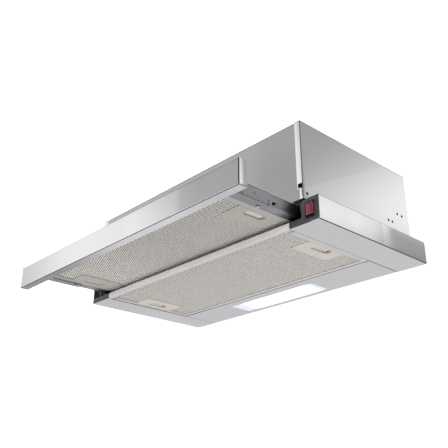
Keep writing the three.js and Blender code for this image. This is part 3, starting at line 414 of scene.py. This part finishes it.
def galvanised_finish(name, colour):
    """Galvanised sheet with the flat crystals of its zinc."""
    finish = Finish(name, Metallic=0.9)
    inputs = {"Vector": finish.place(), "Scale": 120.0}
    crystals = finish.node("ShaderNodeTexVoronoi", {}, inputs, output="Color")
    shade, _, _ = finish.parts(crystals)
    fine = finish.noise(finish.place(), 500.0, 3.0)
    finish.out(
        Base_Color=finish.blend(shade, tone(colour, 0.86), tone(colour, 1.06)),
        Roughness=0.36 + shade * 0.14,
        Normal=finish.bump(fine, 0.1, FINE_DEPTH),
    )
    return finish.material


def aluminium_finish(name, colour, scale=900.0, painted_light=None):
    """Dull, cloudy aluminium; its painted light is a list of masks and tones, for painted shades and
    highlights.
    """
    finish = Finish(name, Metallic=0.7)
    cloud = finish.noise(finish.place(), 30.0, 4.0)
    fine = finish.noise(finish.place(), scale, 2.0)
    shown = finish.blend(cloud, tone(colour, 0.93), tone(colour, 1.05))
    # painted light: each mask takes the colour to a lighter or darker tone
    for painted_mask, amount in painted_light(finish) if painted_light else ():
        shown = finish.blend(painted_mask, shown, tone(colour, amount))
    finish.out(
        Base_Color=shown,
        Roughness=0.44 + fine * 0.12,
        Normal=finish.bump(fine, 0.12, FINE_DEPTH),
    )
    return finish.material


def plastic_finish(name, colour, roughness, grain=0.15, coat=0.0, painted_light=None):
    """Moulded plastic with a fine eroded grain and faint flow lines; its painted light is a list of masks and
    colours, for painted shades, shadows and reflections.
    """
    finish = Finish(name, Coat_Weight=coat, Coat_Roughness=0.1)
    grainy = finish.noise(finish.place(), 1500.0, 2.0)
    flow = finish.noise(finish.place((1.0, 3.0, 1.0)), 18.0, 3.0)
    shown = finish.blend(flow, tone(colour, 0.88), tone(colour, 1.06))
    # painted light: each mask takes the colour to a painted shade or highlight colour
    for painted_mask, painted_colour in painted_light(finish) if painted_light else ():
        shown = finish.blend(painted_mask, shown, tone(painted_colour))
    finish.out(
        Base_Color=shown,
        Roughness=roughness - 0.05 + flow * 0.1,
        Normal=finish.bump(grainy, grain, FINE_DEPTH),
    )
    return finish.material


def rocker_painted_light(finish):
    """Painted light on the rocker: a painted reflection that pales its left and deepens the red of its right,
    painted shade at its upper end and a painted shadow round its rim.
    """
    across, _, up = finish.parts(finish.place())
    low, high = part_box("switch_rocker")
    lit_left = (1 - across.ramp(low.x + 2.5 * MM, low.x + 7.5 * MM)) * 0.8
    right = across.ramp(high.x - 3.6 * MM, high.x - 3.0 * MM)
    shaded_right = right * up.ramp(low.z + 3.0 * MM, low.z + 6.0 * MM)
    upper_end = up.ramp(high.z - 4.5 * MM, high.z - 2.0 * MM)
    inside_left = across.ramp(low.x + 1.4 * MM, low.x + 2.2 * MM)
    inside_bottom = up.ramp(low.z + 0.5 * MM, low.z + 1.2 * MM)
    return (
        (lit_left, (0.2, 0.085, 0.095)),
        (shaded_right, (0.11, 0.002, 0.02)),
        (upper_end, (0.045, 0.022, 0.028)),
        (1 - inside_left * inside_bottom, (0.02, 0.008, 0.012)),
    )


def cap_painted_shade(finish):
    """Painted shade in the gaps: a dark line outside on the right end cap, and below on the left one."""
    across, _, up = finish.parts(finish.place())
    low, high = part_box("end_cap_right")
    on_right = across.ramp(0.0, 1 * MM)
    on_left = (-across).ramp(0.0, 1 * MM)
    outer = (across * across).ramp((high.x - 2.6 * MM) ** 2, (high.x - 2.1 * MM) ** 2)
    lower = 1 - up.ramp(low.z + 2.0 * MM, low.z + 2.8 * MM)
    return ((outer * on_right, PAINTED_GAP_SHADE), (lower * on_left, PAINTED_GAP_SHADE))


def front_net_painted_light(finish):
    """Painted light: the front net's left end is paler."""
    across, _, _ = finish.parts(finish.place())
    low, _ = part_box("front_filter_mesh")
    left_end = 1 - across.ramp(low.x + 80 * MM, low.x + 280 * MM)
    return ((left_end, 1.14),)


def rear_frame_painted_light(finish):
    """Painted light on the rear filter frame: painted shade on its front, a painted highlight on its rear
    rim, and painted shade in the gaps at its left and rear.
    """
    across, along, _ = finish.parts(finish.place())
    low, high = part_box("rear_filter_frame")
    front = 1 - along.ramp(low.y + 7 * MM, low.y + 9 * MM)
    rim_start = along.ramp(high.y - 7.0 * MM, high.y - 6.5 * MM)
    rim_end = along.ramp(high.y - 4.5 * MM, high.y - 4.0 * MM)
    left_gap = 1 - across.ramp(low.x + 1.0 * MM, low.x + 1.8 * MM)
    at_rear = along.ramp(high.y - 1.8 * MM, high.y - 1.0 * MM)
    left_part = 1 - across.ramp(low.x + 10 * MM, low.x + 130 * MM)
    return ((front, 0.72), (rim_start * (1 - rim_end), 1.3), (left_gap, 0.06), (at_rear * left_part, 0.06))


def crosspiece_painted_shade(finish):
    """Painted shade on the crosspiece: its right end and its underside are darker."""
    across, _, up = finish.parts(finish.place())
    colour = settings().enamel_colour
    right_end = across.ramp(60 * MM, 240 * MM)
    under = 1 - up.ramp(0.2 * MM, 0.6 * MM)
    return ((right_end, tone(colour, 0.88)), (under, tone(colour, 0.62)))


def fleece_finish(name, colour):
    """The matted layers behind a net, with a near-black colour that is painted shade for the cassette's
    shaded depth.
    """
    finish = Finish(name, Metallic=0.3)
    fibres = finish.noise(finish.place((1.0, 1.0, 1.0), (0.0, 0.0, 0.7)), 420.0, 5.0, 0.7)
    cloud = finish.noise(finish.place(), 26.0, 3.0)
    woven = finish.blend(fibres, tone(colour, 0.7), tone(colour, 1.15))
    finish.out(
        Base_Color=finish.blend(cloud, woven, tone(colour)),
        Roughness=0.75 - fibres * 0.15,
        Normal=finish.bump(fibres, 0.5, FIBRE_DEPTH),
    )
    return finish.material


def lens_finish(name, colour, strength):
    """A milky diffuser lit from behind, dimmer and bluer at its two ends."""
    low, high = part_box("lamp_lens")
    finish = Finish(name, Roughness=0.3, Emission_Strength=strength)
    across, along, _ = finish.parts(finish.place())
    past_left = across.ramp(low.x + 25 * MM, low.x + 45 * MM)
    past_right = across.ramp(high.x - 30 * MM, high.x - 10 * MM)
    middle = past_left * (1 - past_right)
    inner = along.ramp(low.y, low.y + 12 * MM) * (1 - along.ramp(high.y - 12 * MM, high.y))
    glow = finish.noise(finish.place(), 300.0, 2.0)
    cloudy = finish.blend(glow, tone(colour, 0.9), tone(colour))
    finish.out(
        Base_Color=finish.blend(middle, tone(END_GLOW), cloudy),
        Emission_Color=finish.blend(middle * (inner * 0.3 + 0.7), tone(END_GLOW), tone(colour)),
    )
    return finish.material


def make_steels(look):
    """The finishes of the brushed sheet."""
    colour = look.steel_colour
    dull = look.steel_roughness
    return {
        "steel_x": steel_finish("steel_grain_x", "X", colour, dull),
        "steel_y": steel_finish("steel_grain_y", "Y", colour, dull),
        "body": steel_finish("body_steel", "Y", colour, dull, flange_warp, body_painted_light),
        "panel": steel_finish("panel_steel", "Y", colour, dull, panel_warp, panel_painted_light),
        "rail": steel_finish("rail_steel", "Y", colour, dull, rail_warp, rail_painted_light),
        "fascia": steel_finish("fascia_steel", "X", colour, dull, fascia_warp, fascia_painted_light),
        "drawer": steel_finish(
            "drawer_steel", "Y", look.drawer_colour, DRAWER_ROUGHNESS, painted_light=drawer_painted_light,
            fold=DRAWER_FOLD_SHARE),
        "galvanised": galvanised_finish("galvanised_steel", look.galvanised_colour),
    }


def make_filter_finishes(look):
    """The finishes of the nets, their frames, mats and latches; the front filter's are darker copies with
    painted shade.
    """
    # painted shade: the front filter's net, frame and latches are darker copies of the rear filter's
    front_net = tone(look.net_colour, look.front_net_painted_shade)
    front_frame = tone(look.cassette_colour, FRONT_CASSETTE_PAINTED_SHADE)
    front_latch = tone(look.latch_colour, look.front_latch_painted_shade)
    return {
        "net": aluminium_finish("net_aluminium", look.net_colour),
        "front_net": aluminium_finish("front_net_aluminium", front_net, painted_light=front_net_painted_light),
        "frame": aluminium_finish("cassette_aluminium", look.cassette_colour, CASSETTE_GRAIN),
        "front_frame": aluminium_finish("front_cassette_aluminium", front_frame, CASSETTE_GRAIN),
        "rear_frame": aluminium_finish(
            "rear_cassette_aluminium", look.cassette_colour, CASSETTE_GRAIN, rear_frame_painted_light),
        "fleece": fleece_finish("filter_fleece", look.fleece_colour),
        "latch": plastic_finish("beige_plastic", look.latch_colour, 0.5),
        "front_latch": plastic_finish("front_beige_plastic", front_latch, 0.5),
    }


def make_plastics(look):
    """The finishes of the mouldings, the enamelled crosspiece and the lamp."""
    return {
        "enamel": plastic_finish("pale_enamel", look.enamel_colour, 0.38, 0.04, 0.3, crosspiece_painted_shade),
        "cap": plastic_finish("dark_grey_plastic", look.cap_colour, 0.4, painted_light=cap_painted_shade),
        "black": plastic_finish("black_plastic", look.black_colour, 0.45),
        "red": plastic_finish("red_plastic", look.rocker_colour, 0.3, 0.02, 0.35, rocker_painted_light),
        "white": plastic_finish("white_plastic", look.white_colour, 0.45),
        "board": plastic_finish("lamp_board", look.white_colour, 0.5),
        "lens": lens_finish("milky_lens", look.lens_colour, look.lamp_strength),
    }


FINISH_OF_SLOT = {
    "steel": "steel_x",
    "galvanised": "galvanised",
    "filter_aluminium": "frame",
    "light_enamel": "enamel",
    "latch_plastic": "latch",
    "dark_plastic": "cap",
    "black_plastic": "black",
    "red_plastic": "red",
    "white_plastic": "white",
    "lamp_lens": "lens",
    "board": "board",
}
FINISH_OF_NODE = {
    "body_shell": "body",
    "front_panel": "panel",
    "fascia": "fascia",
    "front_filter_mesh": "front_net",
    "rear_filter_frame": "rear_frame",
    "front_filter_frame": "front_frame",
    "front_latch_plate": "front_latch",
    "side_rail": "rail",
    "drawer_side": "drawer",
    "drawer_bracket": "drawer",
}
finishes = {}
slot_of = {part["node"]: part["material_slot"] for part in frame["record"]["subparts"]}
body_of = {node: body for body, nodes in frame["record"]["behaviour"]["bodies"].items() for node in nodes}


def finish_of(node):
    """The finish of a carried node: its kind's own, or else its slot's."""
    kind = node.removesuffix("_right").removesuffix("_left")
    return finishes[FINISH_OF_NODE.get(kind, FINISH_OF_SLOT[slot_of[node]])]


# ------------------------------------------------------------------ mesh helpers


def piece(name, bm, material, body, slot, *replaced):
    """Turns a bmesh into a piece that rides on a body and may stand for carried nodes."""
    mesh = bpy.data.meshes.new(name)
    bm.to_mesh(mesh)
    bm.free()
    obj = bpy.data.objects.new(name, mesh)
    bpy.context.scene.collection.objects.link(obj)
    mesh.materials.append(material)
    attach(obj, body)
    if replaced:
        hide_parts(*replaced)
    return obj


def merged(node):
    """A merged copy of a carried node's mesh, with its flat faces whole."""
    bm = bmesh.new()
    bm.from_mesh(frame["nodes"][node].data)
    bmesh.ops.remove_doubles(bm, verts=bm.verts, dist=WELD_DISTANCE)
    bmesh.ops.dissolve_limit(bm, angle_limit=FLAT_ANGLE, verts=bm.verts, edges=bm.edges)
    return bm


def soften(bm, radius, segments, least_degrees):
    """Rounds every edge that is sharper than an angle, and shades what is left smooth."""
    limit = math.radians(least_degrees)
    sharp = [edge for edge in bm.edges if edge.is_manifold and edge.calc_face_angle() > limit]
    bmesh.ops.bevel(bm, geom=sharp, offset=radius, offset_type="OFFSET", affect="EDGES",
                    segments=segments, profile=0.5, material=-1, clamp_overlap=True)
    for face in bm.faces:
        face.smooth = True
    crease = math.radians(SHARP_DEGREES)
    for edge in bm.edges:
        edge.smooth = not edge.is_manifold or edge.calc_face_angle() < crease


def softened(node, radius, segments=2, least_degrees=SHARP_DEGREES):
    """A copy of a node with rounded edges, in the node's place."""
    bm = merged(node)
    soften(bm, radius, segments, least_degrees)
    obj = piece(f"{node}_finished", bm, finish_of(node), body_of[node], slot_of[node], node)
    evened = obj.modifiers.new("evened_normals", "WEIGHTED_NORMAL")
    evened.keep_sharp = True
    return obj


# ------------------------------------------------------------------ settings


class RangeHoodSettings(bpy.types.PropertyGroup):
    """Sizes and colours of the finishes, the nets and the studio."""

    camera_place: FloatVectorProperty(
        name="Camera place", description="Where the camera stands", subtype="TRANSLATION", unit="LENGTH",
        default=(0.8444, -0.7536, -0.3823))
    camera_aim: FloatVectorProperty(
        name="Camera aim", description="A point in the middle of the picture", subtype="TRANSLATION",
        unit="LENGTH", default=(0.1023, -0.0672, 0.0515))
    camera_lens: FloatProperty(
        name="Camera lens", description="Focal length of the camera in millimetres", default=53.09)
    front_light: FloatProperty(
        name="Front light", description="Brightness of the low light in front of the hood", default=3.0)
    floor_drop: FloatProperty(
        name="Floor drop", description="How far the floor lies below the hood", default=1.3,
        subtype="DISTANCE", unit="LENGTH")
    floor_colour: FloatVectorProperty(
        name="Floor colour", description="Colour of the studio's floor", subtype="COLOR",
        default=(0.785, 0.785, 0.795))
    steel_colour: FloatVectorProperty(
        name="Steel colour", description="Colour of the stainless steel", subtype="COLOR",
        default=(0.76, 0.76, 0.775))
    steel_roughness: FloatProperty(
        name="Steel roughness", description="How dull the brushed steel is", default=0.17, subtype="FACTOR")
    drawer_colour: FloatVectorProperty(
        name="Drawer steel colour", description="Colour of the duller steel of the drawer's sides",
        subtype="COLOR", default=(0.46, 0.46, 0.48))
    # painted shade: how far the base colour of the steel's folds is darkened
    fold_shade: FloatProperty(
        name="Fold shade", description="How dark the folds of the steel look", default=0.95, subtype="FACTOR")
    rail_lean: FloatProperty(
        name="Rail lean", description="Slope of the side rails' faces near the back", default=0.065)
    rail_taper: FloatProperty(
        name="Rail taper", description="Slope of the side rails' faces towards the back", default=0.03)
    flange_lean: FloatProperty(
        name="Flange lean", description="Slope of the body's right front flange", default=0.2)
    fascia_roll: FloatProperty(
        name="Fascia roll", description="How far the fascia's short sides roll in at the front",
        default=2.6 * MM, subtype="DISTANCE", unit="LENGTH")
    panel_bow: FloatProperty(
        name="Panel bow", description="Curvature of the front panel, per metre", default=0.25)
    edge_radius: FloatProperty(
        name="Edge radius", description="Rounding of the sheet metal's edges", default=0.25 * MM,
        subtype="DISTANCE", unit="LENGTH")
    galvanised_colour: FloatVectorProperty(
        name="Zinc colour", description="Colour of the galvanised steel", subtype="COLOR",
        default=(0.55, 0.56, 0.58))
    net_colour: FloatVectorProperty(
        name="Net colour", description="Colour of the filter nets", subtype="COLOR",
        default=(0.91, 0.875, 0.83))
    cassette_colour: FloatVectorProperty(
        name="Cassette colour", description="Colour of the filter frames", subtype="COLOR",
        default=(0.7, 0.69, 0.68))
    # painted shade: the darker tones of the front net and the front latches
    front_net_painted_shade: FloatProperty(
        name="Front net shade", description="Tone of the front net, less than 1 for darker",
        default=0.93, subtype="FACTOR")
    front_latch_painted_shade: FloatProperty(
        name="Front latch shade", description="Tone of the front latches, less than 1 for darker",
        default=0.7, subtype="FACTOR")
    # painted shade: the mat's near-black colour stands for the shaded depth of the cassette
    fleece_colour: FloatVectorProperty(
        name="Fleece colour", description="Colour of the layers behind the nets", subtype="COLOR",
        default=(0.05, 0.047, 0.042))
    net_pitch: FloatVectorProperty(
        name="Net pitch", description="Width and depth of one diamond of the net", size=2, subtype="XYZ",
        unit="LENGTH", default=(10.5 * MM, 4.0 * MM))
    net_strand: FloatProperty(
        name="Strand", description="Half the width of a strand of the net", default=0.65 * MM,
        subtype="DISTANCE", unit="LENGTH")
    enamel_colour: FloatVectorProperty(
        name="Enamel colour", description="Colour of the crosspiece", subtype="COLOR",
        default=(0.96, 0.91, 0.9))
    latch_colour: FloatVectorProperty(
        name="Latch colour", description="Colour of the filter latches", subtype="COLOR",
        default=(0.73, 0.685, 0.61))
    cap_colour: FloatVectorProperty(
        name="End cap colour", description="Colour of the end caps", subtype="COLOR",
        default=(0.069, 0.06, 0.07))
    black_colour: FloatVectorProperty(
        name="Black plastic colour", description="Colour of the black mouldings", subtype="COLOR",
        default=(0.014, 0.013, 0.015))
    rocker_colour: FloatVectorProperty(
        name="Rocker colour", description="Colour of the switch rocker", subtype="COLOR",
        default=(0.23, 0.007, 0.022))
    white_colour: FloatVectorProperty(
        name="White plastic colour", description="Colour of the white mouldings", subtype="COLOR",
        default=(0.8, 0.8, 0.79))
    lens_colour: FloatVectorProperty(
        name="Lamp colour", description="Colour of the lamp's light", subtype="COLOR",
        default=(0.96, 0.98, 1.0))
    lamp_strength: FloatProperty(
        name="Lamp strength", description="Brightness of the lamp's lens", default=1.1)


# ------------------------------------------------------------------ stage


class HOOD_OT_stage(bpy.types.Operator):
    """Sets the floor, the studio's light and the camera"""

    bl_idname = "hood.stage"
    bl_label = "Stage"

    def execute(self, context):
        look = settings()
        camera = bpy.data.objects.new("camera", bpy.data.cameras.new("camera"))
        camera.data.lens = look.camera_lens
        camera.data.sensor_width = SENSOR_WIDTH
        aim = Vector(look.camera_aim) - Vector(look.camera_place)
        camera.location = look.camera_place
        camera.rotation_euler = aim.to_track_quat("-Z", "Y").to_euler()
        context.scene.collection.objects.link(camera)
        context.scene.camera = camera
        context.scene.view_settings.view_transform = "Standard"
        self.add_floor(look)
        self.light_studio(context)
        return {"FINISHED"}

    def add_floor(self, look):
        """A round floor below the hood, with painted shade that darkens it towards its edge and its left."""
        bm = bmesh.new()
        bmesh.ops.create_circle(bm, cap_ends=True, segments=FLOOR_SIDES, radius=FLOOR_RADIUS)
        bmesh.ops.translate(bm, verts=bm.verts, vec=(0.0, 0.0, -look.floor_drop))
        mesh = bpy.data.meshes.new("floor")
        bm.to_mesh(mesh)
        bm.free()
        floor = bpy.data.objects.new("floor", mesh)
        bpy.context.scene.collection.objects.link(floor)
        finish = Finish("floor", Roughness=0.8)
        mottle = finish.noise(finish.place(), 3.0, 2.0)
        colour = look.floor_colour
        across, along, _ = finish.parts(finish.place())
        even = finish.blend(mottle, tone(colour, 0.98), tone(colour, 1.02))
        # painted shade: the floor is darker far off and towards its left
        far = (across * across + along * along).ramp(*FLOOR_FADE)
        far_shaded = finish.blend(far, even, tone(colour, 0.74))
        left = (-across).ramp(*FLOOR_LEFT_FADE)
        finish.out(Base_Color=finish.blend(left, far_shaded, tone(colour, 0.66)))
        mesh.materials.append(finish.material)

    def light_studio(self, context):
        """Walls all round the hood: white behind it, at its left and low in front, grey at its right.

        A wall is a range of directions: x points to the hood's right, y to its back and z up.
        """
        look = settings()
        world = bpy.data.worlds.new("studio")
        world.use_nodes = True
        context.scene.world = world
        walls = Nodes(world.node_tree)
        direction = walls.node("ShaderNodeTexCoord", output="Generated")
        x, y, z = walls.parts(direction)
        far_left = (-x).ramp(0.82, 0.88)
        left = (-x).ramp(0.68, 0.775) * z.ramp(-0.02, 0.14) * (1 - far_left * 0.22)
        behind = y.ramp(0.12, 0.3) * (-x).ramp(-0.1, 0.15)
        right = x.ramp(0.1, 0.3) * y.ramp(0.1, 0.4)
        right_glow = (y - z).ramp(0.17, 0.42) * (z - x * 0.475).ramp(0.105, 0.13)
        right_low = 1 - z.ramp(0.14, 0.38)
        front = x.ramp(-0.1, 0.2) * (-y).ramp(0.2, 0.5) * (1 - z.ramp(0.35, 0.65))
        above = z.ramp(0.62, 0.9)
        step = (1 - (z + x * 0.2243).ramp(0.555, 0.575)) * right
        right_light = right * (right_glow * RIGHT_GLOW - right_low * RIGHT_LOW_SHADE)
        brightness = ROOM_LIGHT + left * LEFT_LIGHT + behind * BEHIND_LIGHT + right_light
        brightness = brightness + above * ABOVE_LIGHT + step * STEP_LIGHT + front * look.front_light
        background = world.node_tree.nodes["Background"]
        walls.feed(background.inputs["Strength"], brightness)
        walls.feed(background.inputs["Color"], (1.0, 1.0, 1.0, 1.0))


# ------------------------------------------------------------------ pieces


class HOOD_OT_carried_finishes(bpy.types.Operator):
    """Gives every carried node its finish"""

    bl_idname = "hood.carried_finishes"
    bl_label = "Finishes"

    def execute(self, context):
        look = settings()
        finishes.update(make_steels(look))
        finishes.update(make_filter_finishes(look))
        finishes.update(make_plastics(look))
        for name, obj in frame["nodes"].items():
            obj.data.materials.clear()
            obj.data.materials.append(finish_of(name))
        return {"FINISHED"}


class HOOD_OT_sheet_metal(bpy.types.Operator):
    """Gives the sheet metal its rounded edges and smooth folds"""

    bl_idname = "hood.sheet_metal"
    bl_label = "Sheet metal"

    def execute(self, context):
        radius = settings().edge_radius
        for node in SHEET_PIECES:
            softened(node, radius)
        for side in SIDES:
            for node in SIDE_SHEET_PIECES:
                softened(f"{node}_{side}", radius)
        return {"FINISHED"}


class HOOD_OT_mouldings(bpy.types.Operator):
    """Rounds the edges of the plastic mouldings and the lamp's lens"""

    bl_idname = "hood.mouldings"
    bl_label = "Mouldings"

    def execute(self, context):
        for node in MOULDED_PIECES:
            softened(node, MOULDING_RADIUS)
        softened("switch_rocker", ROCKER_RADIUS, 3, ROCKER_SHARP_DEGREES)
        softened("lamp_lens", LENS_RADIUS, 3)
        return {"FINISHED"}


class HOOD_OT_nets(bpy.types.Operator):
    """Makes the two fine filter nets and the fleece behind them"""

    bl_idname = "hood.nets"
    bl_label = "Filter nets"

    def execute(self, context):
        for name, body in FILTERS.items():
            self.add_net(name, body)
        return {"FINISHED"}

    def lattice(self, whole_low, whole_high, low, high, pitch):
        """A sheet of whole diamonds over one half of the net, in step with the other half."""
        width = whole_high.x - whole_low.x
        depth = whole_high.y - whole_low.y
        spare = 2
        cells = math.ceil(width / pitch[0] + depth / pitch[1]) + spare
        bm = bmesh.new()
        bmesh.ops.create_grid(bm, x_segments=cells, y_segments=cells, size=0.5 * cells)
        bmesh.ops.rotate(bm, verts=bm.verts, matrix=Matrix.Rotation(math.radians(45.0), 3, "Z"))
        diagonal = math.sqrt(2.0)
        scale = (pitch[0] / diagonal, pitch[1] / diagonal, 1.0)
        bmesh.ops.scale(bm, verts=bm.verts, vec=scale)
        middle = (whole_low + whole_high) / 2
        bmesh.ops.translate(bm, verts=bm.verts, vec=(middle.x, middle.y, low.z))
        reach = Vector((pitch[0], pitch[1], 0.0))
        beyond = [face for face in bm.faces if not self.inside(face, low - reach, high + reach)]
        bmesh.ops.delete(bm, geom=beyond, context="FACES")
        return bm

    @staticmethod
    def outline(low, high):
        """A point and the outward normal of each side of a rectangle."""
        return ((low, (-1, 0, 0)), (low, (0, -1, 0)), (high, (1, 0, 0)), (high, (0, 1, 0)))

    def trim(self, bm, low, high):
        """Cuts the sheet to a rectangle."""
        for point, normal in self.outline(low, high):
            geometry = bm.verts[:] + bm.edges[:] + bm.faces[:]
            bmesh.ops.bisect_plane(bm, geom=geometry, dist=CUT_TOLERANCE, plane_co=point,
                                   plane_no=normal, clear_outer=True)

    @staticmethod
    def latch_hole(name, side):
        """The rectangle that a latch plate needs free of the sheet."""
        plate_low, plate_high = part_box(f"{name}_latch_plate_{side}")
        margin = Vector((LATCH_MARGIN, LATCH_MARGIN, 0.0))
        return plate_low - margin, plate_high + margin

    def recess(self, bm, low, high, pitch):
        """Cuts a rectangle out of the sheet, touching only the cells near it."""
        reach = Vector((pitch[0], pitch[1], 0.0))
        for point, normal in self.outline(low, high):
            near = [face for face in bm.faces if self.inside(face, low - reach, high + reach)]
            edges = {edge for face in near for edge in face.edges}
            verts = {vert for face in near for vert in face.verts}
            geometry = list(verts) + list(edges) + near
            bmesh.ops.bisect_plane(bm, geom=geometry, dist=CUT_TOLERANCE, plane_co=point, plane_no=normal)
        cut = [face for face in bm.faces if self.inside(face, low, high)]
        bmesh.ops.delete(bm, geom=cut, context="FACES")

    @staticmethod
    def inside(face, low, high):
        """Whether a face's centre lies over a rectangle."""
        centre = face.calc_center_median()
        return low.x < centre.x < high.x and low.y < centre.y < high.y

    def add_net(self, name, body):
        """A net in two halves, with one mat behind both."""
        low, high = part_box(f"{name}_filter_mesh")
        middle = (low.x + high.x) / 2
        self.add_half(name, body, "left", low, Vector((middle, high.y, high.z)))
        self.add_half(name, body, "right", Vector((middle, low.y, low.z)), high)
        self.add_fleece(name, body, low, high)

    def add_half(self, name, body, side, low, high):
        """One half of a net, made of strands with raised knots; the right one stands for the whole node."""
        look = settings()
        node = f"{name}_filter_mesh"
        whole_low, whole_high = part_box(node)
        pitch = look.net_pitch
        bm = self.lattice(whole_low, whole_high, low, high, pitch)
        knots = bm.verts[:]
        cells = bm.faces[:]
        bmesh.ops.inset_individual(bm, faces=cells, thickness=look.net_strand, use_even_offset=True)
        bmesh.ops.delete(bm, geom=cells, context="FACES")
        bmesh.ops.translate(bm, verts=knots, vec=(0.0, 0.0, NET_KNOT))
        self.trim(bm, low, high)
        hole_low, hole_high = self.latch_hole(name, side)
        self.recess(bm, hole_low, hole_high, pitch)
        bmesh.ops.recalc_face_normals(bm, faces=bm.faces)
        bmesh.ops.solidify(bm, geom=bm.faces[:], thickness=NET_THICKNESS)
        self.settle(bm, low.z)
        finish = finishes["front_net" if name == "front" else "net"]
        replaced = [node] if side == "right" else []
        piece(f"{name}_net_{side}", bm, finish, body, slot_of[node], *replaced)

    @staticmethod
    def settle(bm, bottom):
        """Sets the lowest point of a mesh on a height."""
        drop = bottom - min(vert.co.z for vert in bm.verts)
        bmesh.ops.translate(bm, verts=bm.verts, vec=(0.0, 0.0, drop))

    def add_fleece(self, name, body, low, high):
        """A gently uneven mat that lies on the net, cut out round the latches."""
        columns, rows = FLEECE_CELLS
        width = high.x - low.x
        depth = high.y - low.y
        bm = bmesh.new()
        bmesh.ops.create_grid(bm, x_segments=columns, y_segments=rows, size=0.5)
        bmesh.ops.scale(bm, verts=bm.verts, vec=(width, depth, 1.0))
        bmesh.ops.translate(bm, verts=bm.verts, vec=(0.0, (low.y + high.y) / 2, high.z - FLEECE_DROP))
        for side in SIDES:
            hole_low, hole_high = self.latch_hole(name, side)
            self.recess(bm, hole_low, hole_high, (width / columns, depth / rows))
        for vert in bm.verts:
            vert.co.z += FLEECE_WAVE * noise.noise(vert.co * FLEECE_WAVES_PER_METRE)
        bmesh.ops.recalc_face_normals(bm, faces=bm.faces)
        bmesh.ops.solidify(bm, geom=bm.faces[:], thickness=FLEECE_THICKNESS)
        for face in bm.faces:
            face.smooth = True
        piece(f"{name}_fleece", bm, finishes["fleece"], body, "filter_aluminium")


class HOOD_PT_panel(bpy.types.Panel):
    """Lists the steps that dress the hood"""

    bl_idname = "HOOD_PT_panel"
    bl_label = "Range hood"
    bl_space_type = "VIEW_3D"
    bl_region_type = "UI"
    bl_category = "Range Hood"

    def draw(self, context):
        for operator in OPERATORS:
            self.layout.operator(operator.bl_idname)


OPERATORS = (HOOD_OT_stage, HOOD_OT_carried_finishes, HOOD_OT_sheet_metal, HOOD_OT_mouldings, HOOD_OT_nets)
CLASSES = (RangeHoodSettings, *OPERATORS, HOOD_PT_panel)


def register():
    for cls in CLASSES:
        bpy.utils.register_class(cls)
    bpy.types.Scene.range_hood = PointerProperty(type=RangeHoodSettings)


def unregister():
    del bpy.types.Scene.range_hood
    for cls in reversed(CLASSES):
        bpy.utils.unregister_class(cls)


def main():
    """Dresses the hood: stages it, gives its finishes, rounds its sheet metal and mouldings, and makes its
    nets.
    """
    register()
    bpy.ops.hood.stage()
    bpy.ops.hood.carried_finishes()
    bpy.ops.hood.sheet_metal()
    bpy.ops.hood.mouldings()
    bpy.ops.hood.nets()


if __name__ == "__main__":
    main()
